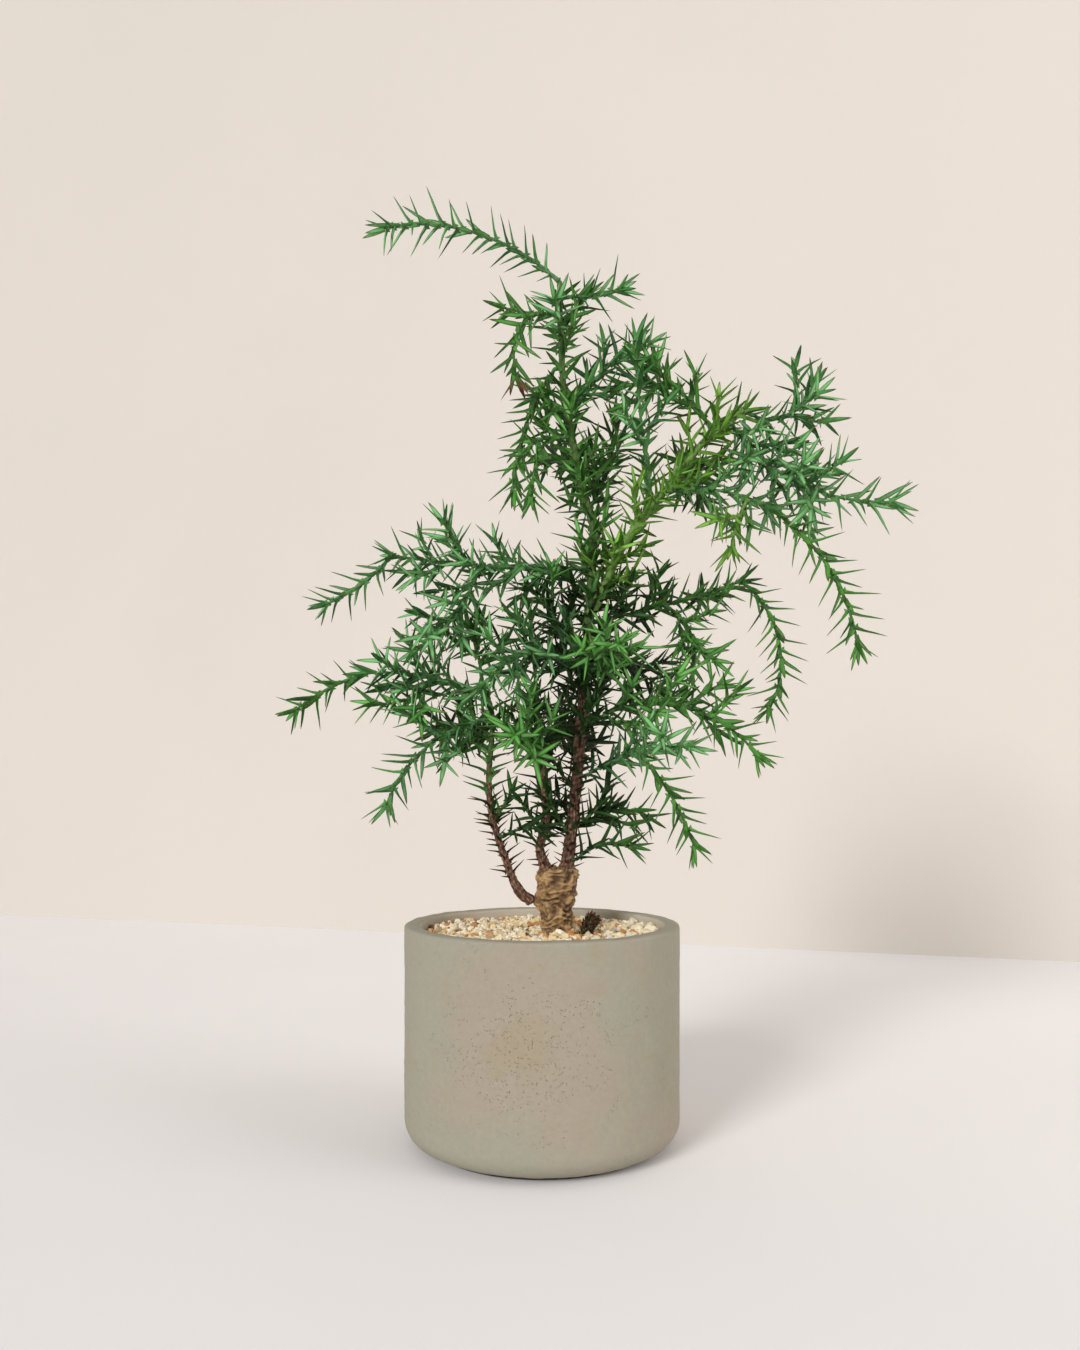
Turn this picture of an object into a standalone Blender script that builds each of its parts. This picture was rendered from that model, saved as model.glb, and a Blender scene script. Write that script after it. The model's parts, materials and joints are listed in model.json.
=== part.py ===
"""Artificial tabletop tree: a potted, bare-stemmed conifer with wire-cored branches.

Everything is in metres with +Z up. The origin is on the table, under the pot's middle. The
camera side of the tree is -Y. Stems are hollow moulded sleeves over steel wires, and the
wires stand in a plaster ballast inside the pot. Each branch is a moulded piece whose wire
bends where it leaves its stem, so its object's origin is that bend.
"""

import math
from dataclasses import dataclass, field

import bmesh
import bpy
import numpy as np
from mathutils import Matrix, Vector, kdtree

# ---- Driving dimensions ----------------------------------------------------------------
GAP = 0.0003  # between two pieces that touch on the real object
PAD_THICKNESS = 0.0015
PAD_MARGIN = 0.0008  # how far the pad stays inside the pot's flat foot

POT_RADIUS = 0.066
POT_HEIGHT = 0.1025
POT_WALL = 0.008
POT_FLOOR = 0.009
POT_FOOT_FILLET = 0.011
POT_RIM_ROUND = 0.0015
POT_SIDES = 40

FILL_SIDES = 32
BALLAST_HEIGHT = 0.050
GRAVEL_BELOW_RIM = 0.005
GRAVEL_DEPTH = 0.010
GRAVEL_ROUGHNESS = 0.0006

TRUNK_X = 0.007
TRUNK_PEG_RADIUS = 0.009
TRUNK_NECK_RADIUS = 0.0082
TRUNK_TOP_RADIUS = 0.0096
TRUNK_ABOVE_GRAVEL = 0.030
TRUNK_IN_BALLAST = 0.012
SOCKET_DEPTH = 0.011
SOCKET_CLEARANCE = 0.0003
SOCKET_WALL = 0.0008  # of the two upright sockets, at the trunk's rim
SIDE_SOCKET_WALL = 0.0013
SIDE_SOCKET_DEPTH = 0.0055
SIDE_SOCKET_REACH = 0.0119  # from the trunk's axis to the side socket's floor
SIDE_SOCKET_DROP = 0.0147  # from the trunk's top down to the side socket's floor
SIDE_SOCKET_RISE_DEG = 35.0
BOSS_ROOT = 0.007  # how far the side socket's boss reaches into the trunk

STUB_RADIUS = 0.0026
STUB_FOOT = (0.0205, -0.0055)

WIRE_RADIUS = 0.0010
WIRE_CLEARANCE = 0.0003
WIRE_IN_BALLAST = 0.012
STEM_SIDES = 8
WIRE_SIDES = 8
TWIG_SIDES = 5
TWIG_RADIUS = 0.0015
TWIG_TIP_SHARE = 0.45
ROOT_BALL_SHARE = 1.0
RING_STEP = 0.0050  # distance between rings along a twig, and so between its needles
STEM_RING_STEP = 0.0080

NEEDLE_LENGTH = 0.011
NEEDLE_LEAN_DEG = 48.0  # angle between a needle and its twig
NEEDLES_PER_RING = 2
NEEDLE_ROOM = 0.0021  # least distance between sample points on needles that may cross
TWIG_ROOM = 0.0014  # least distance from a needle to another twig's skin
NEEDLE_SHARES = (0.30, 0.55, 0.78, 1.0)
EDGE_SHARES = (0.0, 0.15, 0.35, 0.60)  # a needle's foot is a whole face, so its edges are tested too
RING_SAMPLES = 3  # tested points from one ring of a twig to the next
NEAREST_TESTED = 5

BEND_DOWN_DEG = -20.0
BEND_UP_DEG = 25.0
SWEEP_STEPS = 7

# ---- Heights worked out from the above -------------------------------------------------
POT_BOTTOM = PAD_THICKNESS + GAP
POT_TOP = POT_BOTTOM + POT_HEIGHT
POT_INNER_RADIUS = POT_RADIUS - POT_WALL
POT_INNER_FILLET = max(POT_FOOT_FILLET - POT_WALL / 2, POT_WALL / 4)
FILL_BOTTOM = POT_BOTTOM + POT_FLOOR + GAP
BALLAST_TOP = FILL_BOTTOM + BALLAST_HEIGHT
GRAVEL_TOP = POT_TOP - GRAVEL_BELOW_RIM
GRAVEL_BOTTOM = GRAVEL_TOP - GRAVEL_DEPTH
FOAM_BOTTOM = BALLAST_TOP + GAP
FOAM_TOP = GRAVEL_BOTTOM - GAP
TRUNK_BOTTOM = BALLAST_TOP - TRUNK_IN_BALLAST + GAP
TRUNK_TOP = GRAVEL_TOP + TRUNK_ABOVE_GRAVEL
WIRE_BOTTOM = TRUNK_BOTTOM - GAP - WIRE_IN_BALLAST


@dataclass
class Stem:
    """A hollow moulded stem. Its points are x, y and height above the trunk's top."""

    name: str
    points: list
    radius: float
    tip_share: float
    colour: tuple
    needles_from: float  # height above the trunk's top where needles begin
    socket_heading: float = 0.0  # from the trunk's axis to the stem's socket
    upright: bool = True  # its socket is in the trunk's top, not in its side
    wire: str = ""
    wire_length: float = 0.0


@dataclass
class Twig:
    """A branch or sprig that leaves its parent at a height or a distance along it.

    Its direction starts at a compass heading (0 is +X, 90 is +Y) and a rise above the
    level, and both change evenly along its length.
    """

    name: str
    on: str
    at: float  # height above the trunk's top on a stem, or distance along a branch
    heading: float
    length: float
    rise: tuple
    turn: float = 0.0
    hinged: bool = False
    colour: tuple = (0.045, 0.135, 0.045)


@dataclass
class Limb:
    """A stem or twig worked out: its centre line, radii and the hinge that carries it."""

    name: str
    body: str
    line: np.ndarray
    radii: np.ndarray
    colour: tuple
    hinge_point: np.ndarray = None
    hinge_axis: np.ndarray = None
    needles: list = field(default_factory=list)


BARK_GREEN = (0.060, 0.110, 0.035)
YELLOW_GREEN = (0.130, 0.240, 0.060)
BLUE_GREEN = (0.060, 0.190, 0.085)
DEEP_GREEN = (0.020, 0.075, 0.020)

STEMS = [
    Stem(
        "leader",
        [
            (0.0145, -0.001, 0.022),
            (0.017, -0.001, 0.046),
            (0.020, 0.0, 0.088),
            (0.023, 0.001, 0.128),
            (0.0245, 0.002, 0.153),
            (0.0245, 0.002, 0.168),
            (0.019, 0.002, 0.187),
            (0.016, 0.001, 0.203),
            (0.011, 0.0, 0.226),
            (0.009, 0.0, 0.259),
            (0.0085, 0.0, 0.284),
        ],
        radius=0.0035,
        tip_share=0.42,
        colour=BARK_GREEN,
        needles_from=0.080,
        wire="wire_leader",
        wire_length=0.150,
    ),
    Stem(
        "left_stem",
        [
            (-0.014, -0.003, -0.004),
            (-0.018, -0.003, 0.007),
            (-0.024, -0.003, 0.026),
            (-0.0255, -0.003, 0.045),
            (-0.024, -0.002, 0.066),
            (-0.0245, -0.001, 0.078),
            (-0.029, 0.0, 0.090),
        ],
        radius=0.0029,
        tip_share=0.62,
        colour=BARK_GREEN,
        needles_from=0.040,
        socket_heading=187.0,
        upright=False,
        wire="wire_left",
        wire_length=0.080,
    ),
    Stem(
        "middle_stem",
        [
            (-0.001, -0.004, 0.010),
            (0.002, -0.005, 0.026),
            (0.001, -0.005, 0.046),
            (-0.0015, -0.005, 0.061),
            (-0.003, -0.004, 0.088),
        ],
        radius=0.0027,
        tip_share=0.62,
        colour=BARK_GREEN,
        needles_from=0.040,
        socket_heading=211.0,
        wire="wire_middle",
        wire_length=0.075,
    ),
]

FORK = Stem(
    "fork_stem",
    [
        (0.0290, -0.0010, 0.135),
        (0.038, -0.006, 0.154),
        (0.050, -0.008, 0.171),
        (0.064, -0.009, 0.187),
        (0.075, -0.009, 0.202),
        (0.088, -0.008, 0.215),
        (0.096, -0.008, 0.219),
    ],
    radius=0.0024,
    tip_share=0.7,
    colour=YELLOW_GREEN,
    needles_from=0.0,
)

TWIGS = [
    # the crown, at the leader's top
    Twig("branch_crown_left", "leader", 0.286, 186, 0.088, (40, -28), 28, True, BLUE_GREEN),
    Twig("sprig_crown_right", "leader", 0.277, -20, 0.026, (-10, 8), colour=BLUE_GREEN),
    Twig("branch_crown_droop", "leader", 0.270, 208, 0.048, (-4, -112), 30, True),
    Twig("sprig_crown_front", "leader", 0.262, 262, 0.020, (12, 22), colour=BLUE_GREEN),
    Twig("branch_upper_left", "leader", 0.246, 165, 0.046, (-50, -82), -9, True),
    Twig("branch_waist_left", "leader", 0.208, 190, 0.043, (5, -100), 16, True),
    Twig("sprig_waist_left", "branch_waist_left", 0.012, 220, 0.026, (-70, -88)),
    Twig("branch_upper_right", "leader", 0.223, 15, 0.045, (47, 42), 0, True, BLUE_GREEN),
    Twig("branch_rear_up", "leader", 0.175, 62, 0.059, (40, 77), 8, True, DEEP_GREEN),
    Twig("branch_rear_high", "leader", 0.196, 110, 0.050, (35, 10), 0, True, DEEP_GREEN),
    # the yellowish stem that forks off to the right
    Twig("branch_fork_up", "fork_stem", 0.175, 232, 0.070, (70, 88), 0, True, BLUE_GREEN),
    Twig("branch_fork_arch", "fork_stem", 0.209, 170, 0.050, (68, -12), 0, True),
    Twig("branch_fork_tip", "fork_stem", 0.218, 0, 0.036, (-30, 75), -20, True, BLUE_GREEN),
    Twig("branch_fork_right", "fork_stem", 0.213, -32, 0.092, (-58, -8), -6, True, BLUE_GREEN),
    Twig("branch_fork_low", "fork_stem", 0.183, -34, 0.050, (0, -34), 0, True, BLUE_GREEN),
    Twig("sprig_fork_low_tip", "branch_fork_low", 0.050, -10, 0.073, (-36, -82), -10),
    Twig("sprig_fork_low", "branch_fork_low", 0.040, 200, 0.022, (-60, -80), colour=YELLOW_GREEN),
    Twig("branch_fork_rear", "fork_stem", 0.195, 75, 0.048, (10, -20), 0, True, DEEP_GREEN),
    # the middle of the leader
    Twig("branch_mid_right", "leader", 0.122, 25, 0.084, (14, 20), -11, True, DEEP_GREEN),
    Twig("sprig_mid_right_tip", "branch_mid_right", 0.084, 2, 0.070, (-40, -118)),
    Twig("sprig_mid_right", "branch_mid_right", 0.042, -35, 0.048, (-30, -125)),
    Twig("branch_rear_mid", "leader", 0.108, 58, 0.062, (6, -27), -15, True, DEEP_GREEN),
    Twig("branch_arm_left", "leader", 0.148, 186, 0.092, (-3, 8), 0, True, BLUE_GREEN),
    Twig("sprig_arm_left_tip", "branch_arm_left", 0.092, 180, 0.036, (-49, -23), 0, colour=BLUE_GREEN),
    Twig("sprig_arm_left", "branch_arm_left", 0.050, 205, 0.052, (-72, -31), 0, colour=BLUE_GREEN),
    Twig("sprig_arm_left_up", "branch_arm_left", 0.054, 235, 0.022, (30, 50), 0, colour=BLUE_GREEN),
    Twig("sprig_brown", "leader", 0.109, 172, 0.040, (63, 44), 7),
    Twig("branch_front_left", "leader", 0.100, 222, 0.064, (28, -50), 0, True, BLUE_GREEN),
    Twig("branch_front_mid", "leader", 0.087, 285, 0.050, (35, 0), 0, True),
    # the lower right
    Twig("branch_low_right", "leader", 0.072, -34, 0.090, (31, -52), 19, True),
    Twig("branch_low_front", "leader", 0.042, -38, 0.064, (26, -4), -15, True, BLUE_GREEN),
    Twig("sprig_low_front", "branch_low_front", 0.036, -8, 0.047, (-48, -72)),
    Twig("sprig_low", "leader", 0.025, 11, 0.037, (41, -27), 16, colour=DEEP_GREEN),
    Twig("sprig_lowest", "leader", 0.010, -36, 0.030, (46, -17), 20, colour=DEEP_GREEN),
    Twig("branch_rear_low", "leader", 0.060, 100, 0.058, (22, -10), 0, True, DEEP_GREEN),
    # the left and middle stems
    Twig("branch_left_arm", "left_stem", 0.087, 180, 0.057, (31, -6), 2, True, BLUE_GREEN),
    Twig("sprig_left_arm_tip", "branch_left_arm", 0.057, 175, 0.036, (-17, -37), 0),
    Twig("sprig_left_arm", "branch_left_arm", 0.026, 205, 0.030, (-50, 10), -10),
    Twig("branch_left_low", "left_stem", 0.070, 200, 0.066, (-11, -70), 4, True, BLUE_GREEN),
    Twig("branch_left_rear", "left_stem", 0.058, 125, 0.050, (25, 0), 0, True, DEEP_GREEN),
    Twig("sprig_left_top", "left_stem", 0.090, 120, 0.030, (80, 43), 0),
    Twig("sprig_left_inner", "left_stem", 0.016, -40, 0.020, (27, -4), 0, colour=DEEP_GREEN),
    Twig("sprig_middle_top", "middle_stem", 0.088, 150, 0.031, (88, 50), 0),
    Twig("sprig_middle_left", "middle_stem", 0.059, 185, 0.018, (11, 50), 0),
    Twig("branch_front_low", "middle_stem", 0.052, 255, 0.044, (32, -6), 0, True),
]


# ---- Paths -----------------------------------------------------------------------------
def unit(vector):
    """The vector at length one."""
    return vector / np.linalg.norm(vector)


def smooth_line(points, step):
    """Points about one step apart on the Catmull-Rom curve through the given points."""
    given = np.array(points, float)
    ends = np.vstack([2 * given[0] - given[1], given, 2 * given[-1] - given[-2]])
    rows = []
    for i in range(1, len(ends) - 2):
        before, here, there, after = ends[i - 1 : i + 3]
        count = max(1, round(np.linalg.norm(there - here) / step))
        t = np.arange(count)[:, None] / count
        rows.append(
            here
            + 0.5 * t * (there - before)
            + t**2 * (before - 2.5 * here + 2 * there - 0.5 * after)
            + t**3 * (-0.5 * before + 1.5 * here - 1.5 * there + 0.5 * after)
        )
    rows.append(given[-1:])
    return np.vstack(rows)


def arc_line(start, twig):
    """The centre line of a twig: heading and rise change evenly from root to tip."""
    count = max(4, round(twig.length / RING_STEP))
    t = (np.arange(count) + 0.5) / count
    rise = np.radians(twig.rise[0] + (twig.rise[1] - twig.rise[0]) * t)
    heading = np.radians(twig.heading + twig.turn * t)
    steps = np.stack(
        [np.cos(rise) * np.cos(heading), np.cos(rise) * np.sin(heading), np.sin(rise)], axis=1
    )
    steps *= twig.length / count
    return np.vstack([start, start + np.cumsum(steps, axis=0)])


def tangents(line):
    """The unit direction of a line at each of its points."""
    ahead = np.vstack([line[1:], 2 * line[-1] - line[-2]])
    behind = np.vstack([2 * line[0] - line[1], line[:-1]])
    along = ahead - behind
    return along / np.linalg.norm(along, axis=1)[:, None]


def side_vectors(line):
    """Two unit vectors across the line at each point, carried along it without twisting."""
    along = tangents(line)
    start = np.cross(along[0], (0.0, 0.0, 1.0))
    if np.linalg.norm(start) < 0.1:
        start = np.array((1.0, 0.0, 0.0))
    across = [unit(start - along[0] * np.dot(start, along[0]))]
    for tangent in along[1:]:
        carried = across[-1] - tangent * np.dot(across[-1], tangent)
        across.append(unit(carried))
    across = np.array(across)
    return across, np.cross(along, across)


# ---- Limbs: stems, branches and sprigs worked out before they are built ----------------
def socket_line(stem):
    """Three points up a stem's socket, from its floor to its mouth."""
    heading = math.radians(stem.socket_heading)
    out = np.array((math.cos(heading), math.sin(heading), 0.0))
    axis = np.array((TRUNK_X, 0.0, TRUNK_TOP))
    if stem.upright:
        reach = TRUNK_TOP_RADIUS - SOCKET_WALL - SOCKET_CLEARANCE - stem.radius
        floor = axis + out * reach - np.array((0.0, 0.0, SOCKET_DEPTH))
        along = np.array((0.0, 0.0, SOCKET_DEPTH))
    else:
        rise = math.radians(SIDE_SOCKET_RISE_DEG)
        floor = axis + out * SIDE_SOCKET_REACH - np.array((0.0, 0.0, SIDE_SOCKET_DROP))
        along = (out * math.cos(rise) + np.array((0.0, 0.0, math.sin(rise)))) * SIDE_SOCKET_DEPTH
    floor = floor + unit(along) * GAP
    return [floor, floor + along / 2, floor + along]


def stem_limb(stem):
    """A stem's limb, with its points lifted onto the trunk and its foot in its socket."""
    points = [(x, y, TRUNK_TOP + height) for x, y, height in stem.points]
    if stem in STEMS:
        points = socket_line(stem) + points
    line = smooth_line(points, STEM_RING_STEP)
    share = np.linspace(0.0, 1.0, len(line))
    radii = stem.radius * (1 - (1 - stem.tip_share) * share)
    return Limb(stem.name, "root", line, radii, stem.colour)


def point_on(limb, twig, on_stem):
    """The index of the parent's ring where a twig leaves it."""
    if on_stem:
        return int(np.argmin(np.abs(limb.line[:, 2] - TRUNK_TOP - twig.at)))
    travelled = np.linalg.norm(np.diff(limb.line, axis=0), axis=1)
    travelled = np.concatenate([[0.0], np.cumsum(travelled)])
    return int(np.argmin(np.abs(travelled - twig.at)))


def twig_limb(twig, limbs, stem_names):
    """A twig's limb: its root ball stands one gap clear of its parent's skin."""
    parent = limbs[twig.on]
    index = point_on(parent, twig, twig.on in stem_names)
    rise = math.radians(twig.rise[0])
    heading = math.radians(twig.heading)
    out = np.array(
        (
            math.cos(rise) * math.cos(heading),
            math.cos(rise) * math.sin(heading),
            math.sin(rise),
        )
    )
    along = tangents(parent.line)[index]
    across = out - along * np.dot(out, along)
    if index == len(parent.line) - 1:
        across = out
    ball = TWIG_RADIUS * ROOT_BALL_SHARE
    start = parent.line[index] + unit(across) * (parent.radii[index] + ball + GAP)
    line = arc_line(start, twig)
    share = np.linspace(0.0, 1.0, len(line))
    radii = TWIG_RADIUS * (1 - (1 - TWIG_TIP_SHARE) * share)
    level = unit(np.array((math.cos(heading), math.sin(heading), 0.0)))
    limb = Limb(twig.name, parent.body, line, radii, twig.colour)
    if twig.hinged:
        limb.body = twig.name
        limb.hinge_point = start
        limb.hinge_axis = np.cross(level, (0.0, 0.0, 1.0))
    elif parent.hinge_point is not None:
        limb.hinge_point = parent.hinge_point
        limb.hinge_axis = parent.hinge_axis
    return limb


def all_limbs():
    """Every stem, branch and sprig, by name and in building order."""
    limbs = {stem.name: stem_limb(stem) for stem in STEMS + [FORK]}
    stem_names = set(limbs)
    for twig in TWIGS:
        limbs[twig.name] = twig_limb(twig, limbs, stem_names)
    return limbs


# ---- Needles: kept only where no branch can carry them into another --------------------
def turned(points, limb, degrees):
    """Points of a limb after its hinge has turned by that many degrees."""
    if limb.hinge_point is None or degrees == 0.0 or len(points) == 0:
        return points
    turn = np.array(Matrix.Rotation(math.radians(degrees), 3, Vector(limb.hinge_axis)))
    return (points - limb.hinge_point) @ turn.T + limb.hinge_point


def tree_of(clouds):
    """A search tree over (points, reach) clouds, and how far off each point keeps a needle."""
    points = np.vstack([cloud[0] for cloud in clouds])
    reach = np.concatenate([cloud[1] for cloud in clouds])
    tree = kdtree.KDTree(len(points))
    for index, point in enumerate(points):
        tree.insert(point, index)
    tree.balance()
    return tree, reach


def is_clear(tree, reach, points):
    """Whether every point is out of reach of everything in the tree."""
    for point in points:
        for _, index, distance in tree.find_n(point, NEAREST_TESTED):
            if distance < reach[index]:
                return False
    return True


def twig_cloud(limb):
    """Points close together down a limb's middle, and the reach of each: its skin and more."""
    rows = np.arange(len(limb.line))
    between = np.arange(0, len(limb.line) - 1 + 1e-9, 1 / RING_SAMPLES)
    points = np.stack([np.interp(between, rows, limb.line[:, k]) for k in range(3)], axis=1)
    return points, np.interp(between, rows, limb.radii) + TWIG_ROOM


def needle_sites(limb, first_ring, sides):
    """(ring, side, foot, apex) for each place on a limb where a needle may grow."""
    across, up = side_vectors(limb.line)
    along = tangents(limb.line)
    lean = math.radians(NEEDLE_LEAN_DEG)
    sites = []
    for ring in range(first_ring, len(limb.line) - 1):
        middle = (limb.line[ring] + limb.line[ring + 1]) / 2
        for turn in range(NEEDLES_PER_RING):
            side = (ring * 2 + turn * (sides // 2)) % sides
            angle = 2 * math.pi * (side + 0.5) / sides
            outward = across[ring] * math.cos(angle) + up[ring] * math.sin(angle)
            foot = middle + outward * limb.radii[ring]
            way = outward * math.sin(lean) + along[ring] * math.cos(lean)
            sites.append((ring, side, foot, foot + way * NEEDLE_LENGTH))
    return sites


def needle_edges(limb, ring, foot, apex):
    """Points down a needle's lower and upper edges, which start on the rings beside it."""
    half = (limb.line[ring + 1] - limb.line[ring]) / 2
    return np.array(
        [
            foot + (apex - foot) * share + half * sign * (1 - share)
            for share in EDGE_SHARES
            for sign in (-1, 1)
        ]
    )


def grow_needles(limbs):
    """Fills each limb's needle list with the sites that stay clear through every bend."""
    bends = [*np.linspace(BEND_DOWN_DEG, BEND_UP_DEG, SWEEP_STEPS), 0.0]
    first_heights = {stem.name: stem.needles_from for stem in STEMS + [FORK]}
    twig_clouds = {name: twig_cloud(limb) for name, limb in limbs.items()}
    needle_clouds = {}
    for name, limb in limbs.items():
        outside = [other for other in limbs.values() if other.body != limb.body]
        family = [o for o in limbs.values() if o.body == limb.body and o.name != name]

        def tree_at(others, degrees):
            clouds = [
                (turned(store[o.name][0], o, bend), store[o.name][1])
                for o in others
                for bend in degrees
                for store in (twig_clouds, needle_clouds)
                if o.name in store
            ]
            return tree_of(clouds)

        tests = [(*tree_at(outside, [0.0]), bends), (*tree_at(outside, bends), [0.0])]
        tests += [(*tree_at(outside, [bend]), [bend]) for bend in (BEND_DOWN_DEG, BEND_UP_DEG)]
        if family:
            tests.append((*tree_at(family, [0.0]), [0.0]))
        first = 1
        if name in first_heights:
            above = limb.line[:, 2] > TRUNK_TOP + first_heights[name]
            first = max(1, int(np.argmax(above)))
        sides = STEM_SIDES if name in first_heights else TWIG_SIDES
        kept = []
        for ring, side, foot, apex in needle_sites(limb, first, sides):
            samples = np.array([foot + (apex - foot) * share for share in NEEDLE_SHARES])
            tested = np.vstack([samples, needle_edges(limb, ring, foot, apex)])
            if all(
                is_clear(tree, reach, turned(tested, limb, bend))
                for tree, reach, degrees in tests
                for bend in degrees
            ):
                limb.needles.append((ring, side, apex))
                kept.append(samples)
        if kept:
            points = np.vstack(kept)
            needle_clouds[name] = (points, np.full(len(points), NEEDLE_ROOM))


# ---- Building --------------------------------------------------------------------------
def clear_scene():
    """Removes the scene's objects."""
    for obj in list(bpy.data.objects):
        bpy.data.objects.remove(obj)


def material(name, colour, roughness, metallic=0.0):
    """A Principled material, made once for each name."""
    made = bpy.data.materials.get(name)
    if made is None:
        made = bpy.data.materials.new(name)
        made.use_nodes = True
        shader = made.node_tree.nodes["Principled BSDF"]
        shader.inputs["Base Color"].default_value = (*colour, 1.0)
        shader.inputs["Roughness"].default_value = roughness
        shader.inputs["Metallic"].default_value = metallic
    return made


def finish(mesh_source, name, finish_material, origin=(0.0, 0.0, 0.0), sharp_deg=35.0):
    """Makes an object of a bmesh whose points are in world space, with its own origin."""
    bmesh.ops.recalc_face_normals(mesh_source, faces=mesh_source.faces)
    bmesh.ops.translate(mesh_source, verts=mesh_source.verts, vec=-Vector(origin))
    mesh = bpy.data.meshes.new(name)
    mesh_source.to_mesh(mesh)
    mesh_source.free()
    mesh.shade_smooth()
    mesh.set_sharp_from_angle(angle=math.radians(sharp_deg))
    mesh.materials.append(finish_material)
    obj = bpy.data.objects.new(name, mesh)
    obj.location = origin
    bpy.context.scene.collection.objects.link(obj)
    return obj


def turned_profile(profile, sides, centre=(0.0, 0.0)):
    """A bmesh turned about a vertical axis. Profile points are (radius, z).

    A point at radius nought closes the shape with a single vertex. A profile with no such
    point is joined end to end, as a ring is.
    """
    made = bmesh.new()
    rings = []
    for radius, z in profile:
        if radius == 0.0:
            rings.append([made.verts.new((*centre, z))])
            continue
        ring = []
        for k in range(sides):
            angle = 2 * math.pi * k / sides
            x = centre[0] + radius * math.cos(angle)
            y = centre[1] + radius * math.sin(angle)
            ring.append(made.verts.new((x, y, z)))
        rings.append(ring)
    pairs = list(zip(rings, rings[1:]))
    if len(rings[0]) > 1 and len(rings[-1]) > 1:
        pairs.append((rings[-1], rings[0]))
    for lower, upper in pairs:
        join_rings(made, lower, upper)
    return made


def join_rings(made, lower, upper):
    """Faces between two rings of the same count, or between a ring and a single vertex."""
    sides = max(len(lower), len(upper))
    for k in range(sides):
        corners = [lower[k % len(lower)], lower[(k + 1) % len(lower)]]
        corners += [upper[(k + 1) % len(upper)], upper[k % len(upper)]]
        made.faces.new(list(dict.fromkeys(corners)))


def arc_points(centre, radius, start_deg, end_deg, steps):
    """(radius, z) points on an arc, for a turned profile."""
    angles = np.radians(np.linspace(start_deg, end_deg, steps + 1))
    return [(centre[0] + radius * math.cos(a), centre[1] + radius * math.sin(a)) for a in angles]


def tube(line, radii, sides, needles=()):
    """A bmesh tube along a line with rounded ends, and needles drawn out of its faces."""
    across, up = side_vectors(line)
    along = tangents(line)
    made = bmesh.new()
    rings = [[made.verts.new(line[0] - along[0] * radii[0])]]
    for i, centre in enumerate(line):
        ring = []
        for k in range(sides):
            angle = 2 * math.pi * k / sides
            outward = across[i] * math.cos(angle) + up[i] * math.sin(angle)
            ring.append(made.verts.new(centre + outward * radii[i]))
        rings.append(ring)
    rings.append([made.verts.new(line[-1] + along[-1] * radii[-1])])
    spikes = {(ring, side): apex for ring, side, apex in needles}
    for i, (lower, upper) in enumerate(zip(rings, rings[1:])):
        for k in range(sides):
            corners = [lower[k % len(lower)], lower[(k + 1) % len(lower)]]
            corners += [upper[(k + 1) % len(upper)], upper[k % len(upper)]]
            corners = list(dict.fromkeys(corners))
            apex = spikes.get((i - 1, k))
            if apex is None:
                made.faces.new(corners)
                continue
            point = made.verts.new(apex)
            for a, b in zip(corners, corners[1:] + corners[:1]):
                made.faces.new([a, b, point])
    return made


def sleeve(line, radii, bore_radius, bore_rings, sides, needles=()):
    """A stem moulded over a wire: a tube with a blind bore open at its lower end."""
    across, up = side_vectors(line)
    along = tangents(line)
    made = bmesh.new()

    def ring_at(i, radius):
        ring = []
        for k in range(sides):
            angle = 2 * math.pi * k / sides
            outward = across[i] * math.cos(angle) + up[i] * math.sin(angle)
            ring.append(made.verts.new(line[i] + outward * radius))
        return ring

    outer = [ring_at(i, radius) for i, radius in enumerate(radii)]
    outer.append([made.verts.new(line[-1] + along[-1] * radii[-1])])
    inner = [ring_at(i, bore_radius) for i in range(bore_rings)]
    inner.append([made.verts.new(line[bore_rings - 1] + along[bore_rings - 1] * bore_radius)])
    spikes = {(ring, side): apex for ring, side, apex in needles}
    for i, (lower, upper) in enumerate(zip(outer, outer[1:])):
        for k in range(sides):
            corners = [lower[k % len(lower)], lower[(k + 1) % len(lower)]]
            corners += [upper[(k + 1) % len(upper)], upper[k % len(upper)]]
            corners = list(dict.fromkeys(corners))
            apex = spikes.get((i, k))
            if apex is None:
                made.faces.new(corners)
                continue
            point = made.verts.new(apex)
            for a, b in zip(corners, corners[1:] + corners[:1]):
                made.faces.new([a, b, point])
    for lower, upper in zip(inner, inner[1:]):
        join_rings(made, upper, lower)
    join_rings(made, inner[0], outer[0])
    return made


def cut(target, cutter_mesh, name, operation="DIFFERENCE"):
    """Applies a Boolean with a hidden helper object to the target."""
    helper_material = material("helper", (0.5, 0.5, 0.5), 0.5)
    helper = finish(cutter_mesh, name, helper_material)
    helper.hide_render = True
    helper.display_type = "WIRE"
    modifier = target.modifiers.new(name, "BOOLEAN")
    modifier.operation = operation
    modifier.object = helper


def build_pot():
    """The concrete pot: straight outside, rounded foot and eased rim edges."""
    rim = POT_RIM_ROUND
    foot = POT_FOOT_FILLET
    inner_fillet = POT_INNER_FILLET
    floor = POT_BOTTOM + POT_FLOOR
    profile = [(0.0, POT_BOTTOM)]
    profile += arc_points((POT_RADIUS - foot, POT_BOTTOM + foot), foot, -90, 0, 5)
    profile += arc_points((POT_RADIUS - rim, POT_TOP - rim), rim, 0, 90, 2)
    profile += arc_points((POT_INNER_RADIUS + rim, POT_TOP - rim), rim, 90, 180, 2)
    profile += arc_points(
        (POT_INNER_RADIUS - inner_fillet, floor + inner_fillet), inner_fillet, 0, -90, 3
    )
    profile += [(0.0, floor)]
    concrete = material("concrete", (0.62, 0.56, 0.46), 0.85)
    return finish(turned_profile(profile, POT_SIDES), "outer_pot", concrete)


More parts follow.
